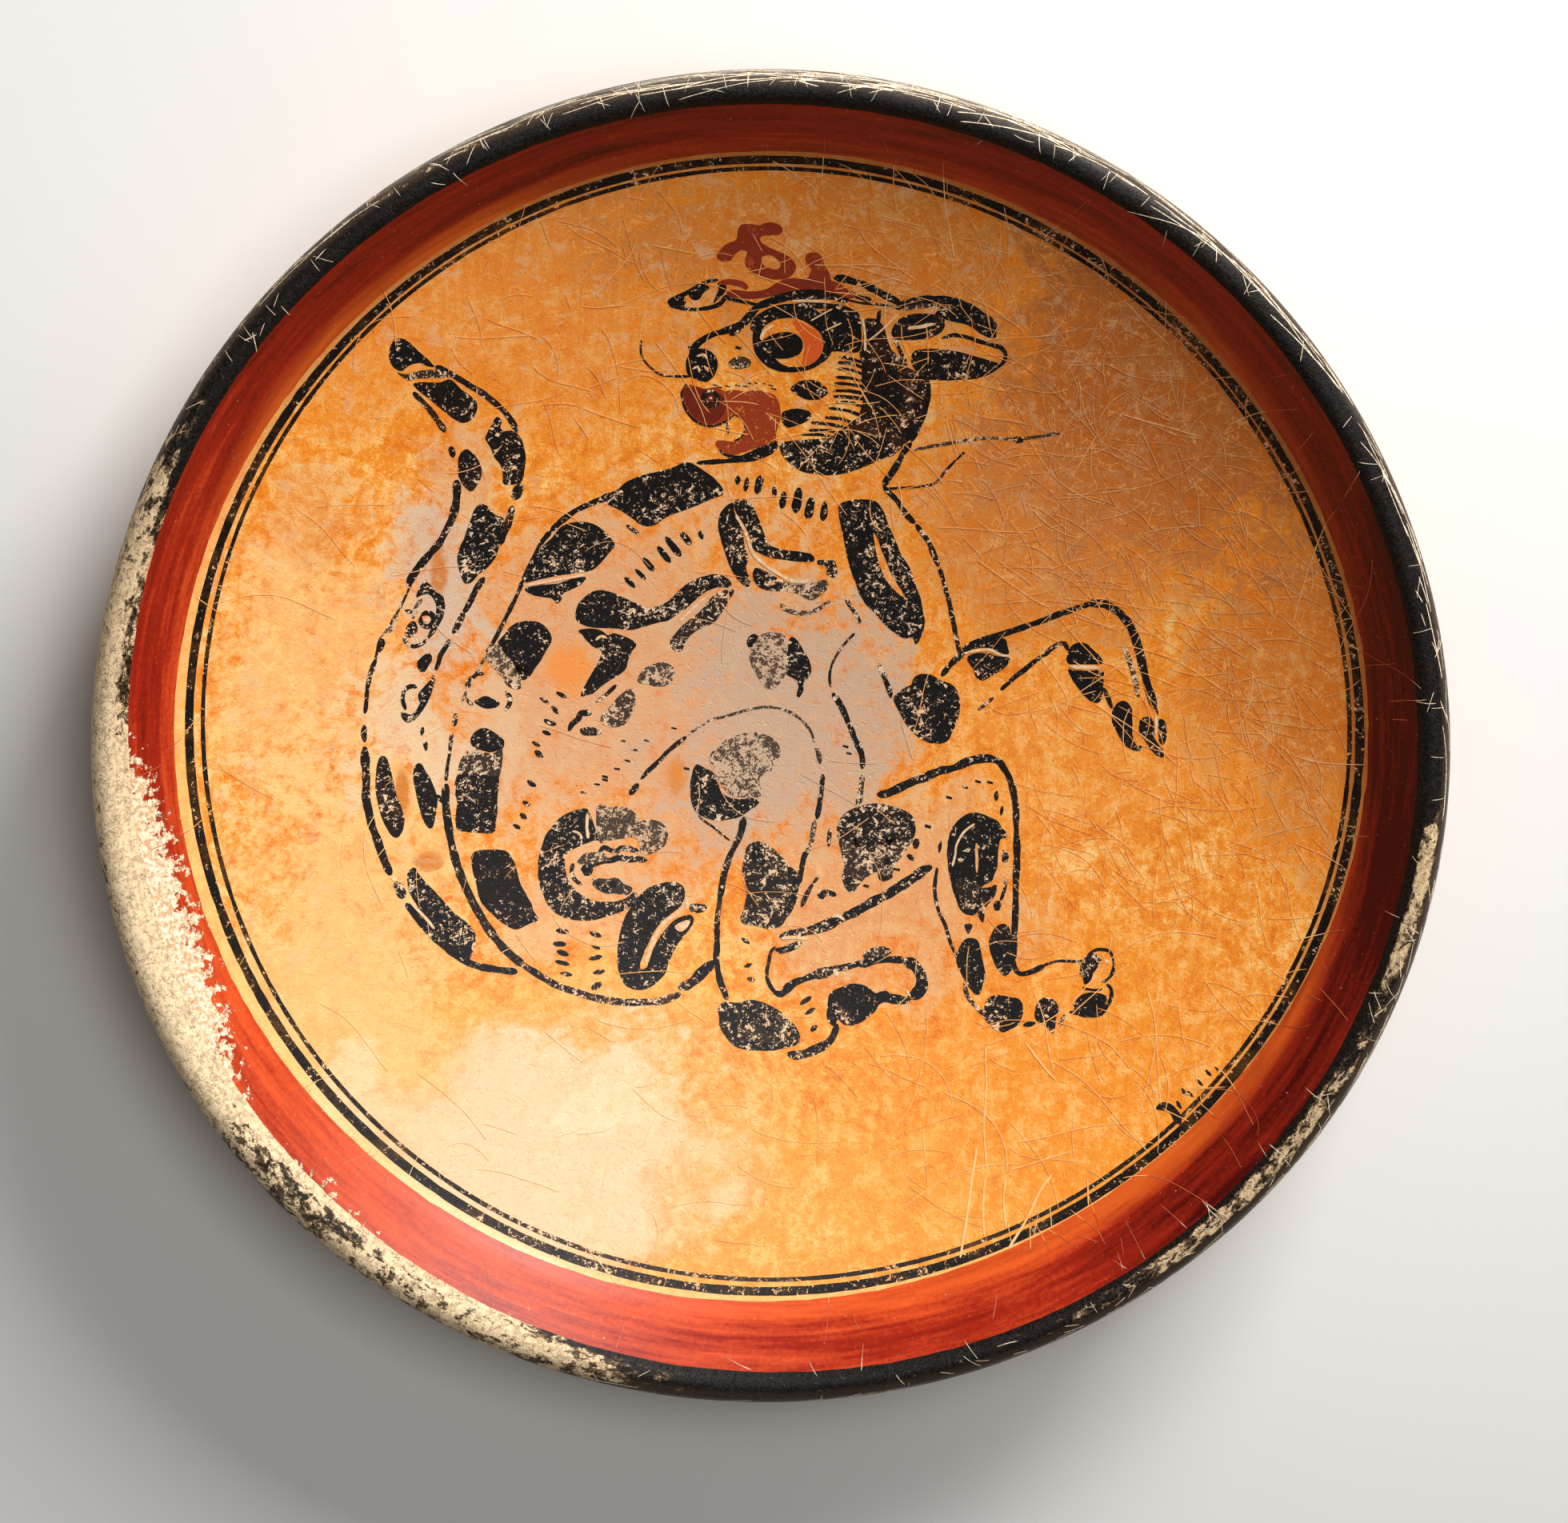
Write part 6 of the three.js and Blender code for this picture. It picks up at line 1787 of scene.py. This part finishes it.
rootLook = {
    "seed": 11,
    "step": 1.6,
    "curveStep": 1.0,
    "height": 0.1,
    "furthest": 154.0,
    "crossSpread": 0.45,     # radians by which a root that crosses the wall strays from straight down
    "roundSpread": 0.06,     # the same for one that follows the lip
    "firstBend": 0.4,        # share of its unsteadiness with which a root starts to bend
    "bendKept": 0.9,         # shares of the last bend and of its unsteadiness in the next bend
    "bendNew": 0.5,
    # way, count, nearest and furthest start, bearing and spread, lengths, widths, paleness, unsteadiness
    "sorts": [
        ("any", 620, (60, 128), (38, 44), (4, 18), (0.1, 0.2), (0.12, 0.4), 0.1),
        ("any", 220, (20, 128), (-10, 80), (5, 24), (0.1, 0.18), (0.12, 0.3), 0.09),
        ("any", 44, (60, 128), (30, 50), (10, 34), (0.12, 0.22), (0.3, 0.6), 0.06),
        ("any", 18, (90, 129), (-55, 26), (10, 30), (0.14, 0.24), (0.35, 0.6), 0.05),
        ("any", 34, (60, 129), (180, 80), (5, 24), (0.1, 0.18), (0.3, 0.7), 0.08),
        ("across", 60, (128, 146), (-70, 60), (3, 9), (0.1, 0.18), (0.3, 0.7), 0.05),
        ("across", 55, (148.6, 150.6), (70, 44), (3.4, 5), (0.08, 0.14), (0.6, 0.9), 0.05),
        ("round", 110, (148.6, 151), (64, 30), (5, 26), (0.1, 0.2), (0.7, 1.0), 0.015),
        ("any", 40, (146, 151), (112, 30), (3.4, 6), (0.1, 0.18), (0.6, 1.0), 0.1),
        ("any", 70, (145.4, 150), (318, 30), (3.4, 6), (0.1, 0.2), (0.7, 1.0), 0.1),
        ("round", 60, (149.6, 151), (310, 34), (3.4, 12), (0.1, 0.18), (0.7, 1.0), 0.03),
    ],
    # the broader marks at the lower right: points, width, paleness
    "broad": [
        ([57.8, -72.8, 61.5, -77.5, 64.7, -80.8], 0.4, 0.6),
        ([48.7, -74.1, 48.9, -83, 48.4, -92, 49, -101], 0.32, 0.55),
        ([48.8, -103, 48.2, -109, 48.5, -115.7], 0.45, 0.6),
        ([46.8, -96.7, 45.6, -104, 44.5, -112, 43, -120.6], 0.5, 0.65),
        ([53.9, -118.1, 58.4, -111, 61, -105.5, 63.8, -101.6], 0.5, 0.65),
        ([53.3, -103, 52.9, -108, 53.4, -113.6], 0.4, 0.55),
        ([71.8, -101.9, 72, -107.6], 0.35, 0.5),
    ],
}


def growRoots():
    # roots gather at the right and the top, and many lie on the lip or cross it
    chance = random.Random(rootLook["seed"])
    step = rootLook["step"]
    marks = []
    for way, count, reaches, (bearing, spread), lengths, widths, paleness, turn in rootLook["sorts"]:
        for _ in range(count):
            reach = math.sqrt(chance.uniform(reaches[0] ** 2, reaches[1] ** 2))
            towards = math.radians(chance.gauss(bearing, spread))
            place = Vector((reach * math.cos(towards), reach * math.sin(towards)))
            heading = {
                "any": chance.uniform(0, math.tau),
                "across": towards + math.pi + chance.gauss(0, rootLook["crossSpread"]),
                "round": towards + math.pi / 2 + chance.gauss(0, rootLook["roundSpread"]),
            }[way]
            steady = step / reach if way == "round" else 0.0
            bend = chance.gauss(0, turn * rootLook["firstBend"])
            row = [*place]
            for _ in range(max(2, int(chance.uniform(*lengths) / step))):
                bend = bend * rootLook["bendKept"] + chance.gauss(0, turn) * rootLook["bendNew"]
                heading += bend + steady
                place = place + Vector((math.cos(heading), math.sin(heading))) * step
                if place.length > rootLook["furthest"]:
                    break
                row += [*place]
            width = chance.uniform(*widths)
            pale = chance.uniform(*paleness)
            if len(row) > 4:
                marks.append(line(row, width, pale))
    return marks


rootMarks = [line(*values) for values in rootLook["broad"]] + growRoots()
makeMarks("root_marks", rootMarks, rootMaterial, rootLook["height"], "orange_slip", rootLook["curveStep"])

# Clay

clayLook = {
    "coatDepth": 0.8,        # the clay lies this deep under both finished faces
    "slabOut": 73.0,
    "slabSteps": 36,
    "footOuter": 58.0,
    "footInner": 49.0,
    "seatSpread": 2.0,
    "seatDepth": 0.5,
    "footEdge": 1.5,
    "stepsAround": 240,
    "edgeSteps": 6,
    "seatSteps": 8,
    "sharpAngle": 40,
}

clayDepth = clayLook["coatDepth"]
slab = makeRing("floor_slab", clayMaterial, 0, clayLook["slabOut"], -floorThickness + clayDepth,
                floorThickness - 2 * clayDepth, clayLook["slabSteps"])
addPiece(slab, "fired_clay", "base_slab")
for coil in ("floor_coil", "wall_coil", "rim_coil"):
    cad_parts[coil].data.materials.clear()
    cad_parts[coil].data.materials.append(clayMaterial)


def undersideHeight(radius, depth):
    # the underside of the floor, less a depth into it
    slope = 2 * floorBow * radius
    return floorMiddle + floorBow * radius * radius - (floorThickness - depth) * math.hypot(1, slope)


def footProfile():
    # two rounded edges on the table, then the seat under the floor
    outer = clayLook["footOuter"]
    inner = clayLook["footInner"]
    edge = clayLook["footEdge"]
    spread = clayLook["seatSpread"]
    points = []
    for middle, start in ((inner + edge, 1.0), (outer - edge, 1.5)):
        for i in range(clayLook["edgeSteps"] + 1):
            turn = math.pi * (start + 0.5 * i / clayLook["edgeSteps"])
            points.append((middle + edge * math.cos(turn), edge + edge * math.sin(turn)))
    for i in range(clayLook["seatSteps"] + 1):
        radius = outer + spread - (outer - inner + 2 * spread) * i / clayLook["seatSteps"]
        points.append((radius, undersideHeight(radius, clayLook["seatDepth"])))
    return points


def latheFoot():
    profile = footProfile()
    around = clayLook["stepsAround"]
    vertices = []
    for i in range(around):
        angle = math.tau * i / around
        for radius, height in profile:
            fade = (radius / dishForm["rimRadius"]) ** dishForm["waveFade"]
            grown = radius + fade * waveSum(dishForm["radialWaves"], angle)
            lifted = height + fade * waveSum(dishForm["heightWaves"], angle)
            vertices.append((grown * math.cos(angle) * mm, grown * math.sin(angle) * mm, lifted * mm))
    count = len(profile)
    faces = []
    for i in range(around):
        here = i * count
        after = (i + 1) % around * count
        for k in range(count):
            following = (k + 1) % count
            faces.append((here + k, after + k, after + following, here + following))
    mesh = bpy.data.meshes.new("ring_foot_skin")
    mesh.from_pydata(vertices, [], faces)
    mesh.materials.append(clayMaterial)
    mesh.shade_smooth()
    mesh.set_sharp_from_angle(angle=math.radians(clayLook["sharpAngle"]))
    foot = bpy.data.objects.new("foot_ring", mesh)
    bpy.context.scene.collection.objects.link(foot)
    return foot


addPiece(latheFoot(), "fired_clay", "ring_foot")
print("clay made")

# Studio

studio = {
    "floorSize": 4.0,                   # metres
    "floorColour": "#dedbd6",
    "floorClouds": "#eeece8",
    "worldColour": "#f4f3f1",
    "worldStrength": 0.1,
    "backdrop": 0.82,                   # what the camera sees past the floor
    # name, bearing and height in degrees, distance and size in metres, power in watts
    "lights": [
        ("key", 60, 30, 1.3, (0.5, 0.5), 20.4),
        ("overhead", 58, 73, 1.2, (0.42, 0.42), 5.0),
        ("sheen", 48, 17, 1.1, (0.5, 0.3), 4.0),
    ],
    "lightTarget": (0, 0, 0.04),        # metres
}


def makeFloor():
    mesh = bpy.data.meshes.new("studio_floor")
    half = studio["floorSize"] / 2
    corners = [(-half, -half, 0), (half, -half, 0), (half, half, 0), (-half, half, 0)]
    mesh.from_pydata(corners, [], [(0, 1, 2, 3)])
    floor = bpy.data.objects.new("studio_floor", mesh)
    bpy.context.scene.collection.objects.link(floor)
    material, sheet = openMaterial("studioFloor")
    place = dishPlace(sheet)
    clouds = sheet.cloud(place, 0.004, 2.0)
    tone = sheet.mixed(clouds, linear(studio["floorColour"]), linear(studio["floorClouds"]))
    closeMaterial(sheet, tone, sheet.cloud(place, 0.05) * 0.1 + 0.85, 0.0, 0.0)
    mesh.materials.append(material)


def aimed(bearing, height, distance, target):
    # a place at a distance from the target, turned to face it
    lean = math.radians(height)
    turn = math.radians(bearing)
    toSource = Vector((math.cos(lean) * math.cos(turn), math.cos(lean) * math.sin(turn), math.sin(lean)))
    place = Vector(target) + toSource * distance
    return Matrix.Translation(place) @ toSource.to_track_quat("Z", "Y").to_matrix().to_4x4()


def makeLights():
    for name, bearing, height, distance, (wide, tall), power in studio["lights"]:
        light = bpy.data.lights.new(name, "AREA")
        light.shape = "RECTANGLE"
        light.size = wide
        light.size_y = tall
        light.energy = power
        holder = bpy.data.objects.new(name, light)
        bpy.context.scene.collection.objects.link(holder)
        holder.matrix_world = aimed(bearing, height, distance, studio["lightTarget"])
    world = bpy.data.worlds.new("studio")
    world.use_nodes = True
    world.node_tree.nodes.clear()
    sheet = Sheet(world.node_tree)
    seen = sheet.node("ShaderNodeLightPath", out="Is Camera Ray")
    strength = sheet.blended(seen, studio["worldStrength"], studio["backdrop"])
    colour = linear(studio["worldColour"])
    glow = sheet.node("ShaderNodeBackground", None, {"Color": colour, "Strength": strength})
    sheet.node("ShaderNodeOutputWorld", None, {"Surface": glow}, None)
    bpy.context.scene.world = world


# fitted to the painted circles: the camera looks down a little way off the dish's axis
view = {
    "lean": 13.49,
    "bearing": 86.94,
    "target": (3.08, -0.45, 54.0),
    "distance": 1100.0,
    "lens": 115.14,
    "sensor": 36.0,
    "clip": (0.05, 20),      # metres
}


def makeCamera():
    lean = math.radians(view["lean"])
    turn = math.radians(view["bearing"])
    back = Vector((math.sin(lean) * math.cos(turn), math.sin(lean) * math.sin(turn), math.cos(lean)))
    right = Vector((0, 1, 0)).cross(back).normalized()
    up = back.cross(right)
    place = (Vector(view["target"]) + back * view["distance"]) * mm
    camera = bpy.data.cameras.new("camera")
    camera.lens = view["lens"]
    camera.sensor_width = view["sensor"]
    camera.clip_start, camera.clip_end = view["clip"]
    holder = bpy.data.objects.new("camera", camera)
    bpy.context.scene.collection.objects.link(holder)
    turned = Matrix((right, up, back)).transposed().to_4x4()
    holder.matrix_world = Matrix.Translation(place) @ turned
    bpy.context.scene.camera = holder


makeFloor()
makeLights()
makeCamera()
bpy.context.scene.view_settings.view_transform = "Standard"
print("studio set")
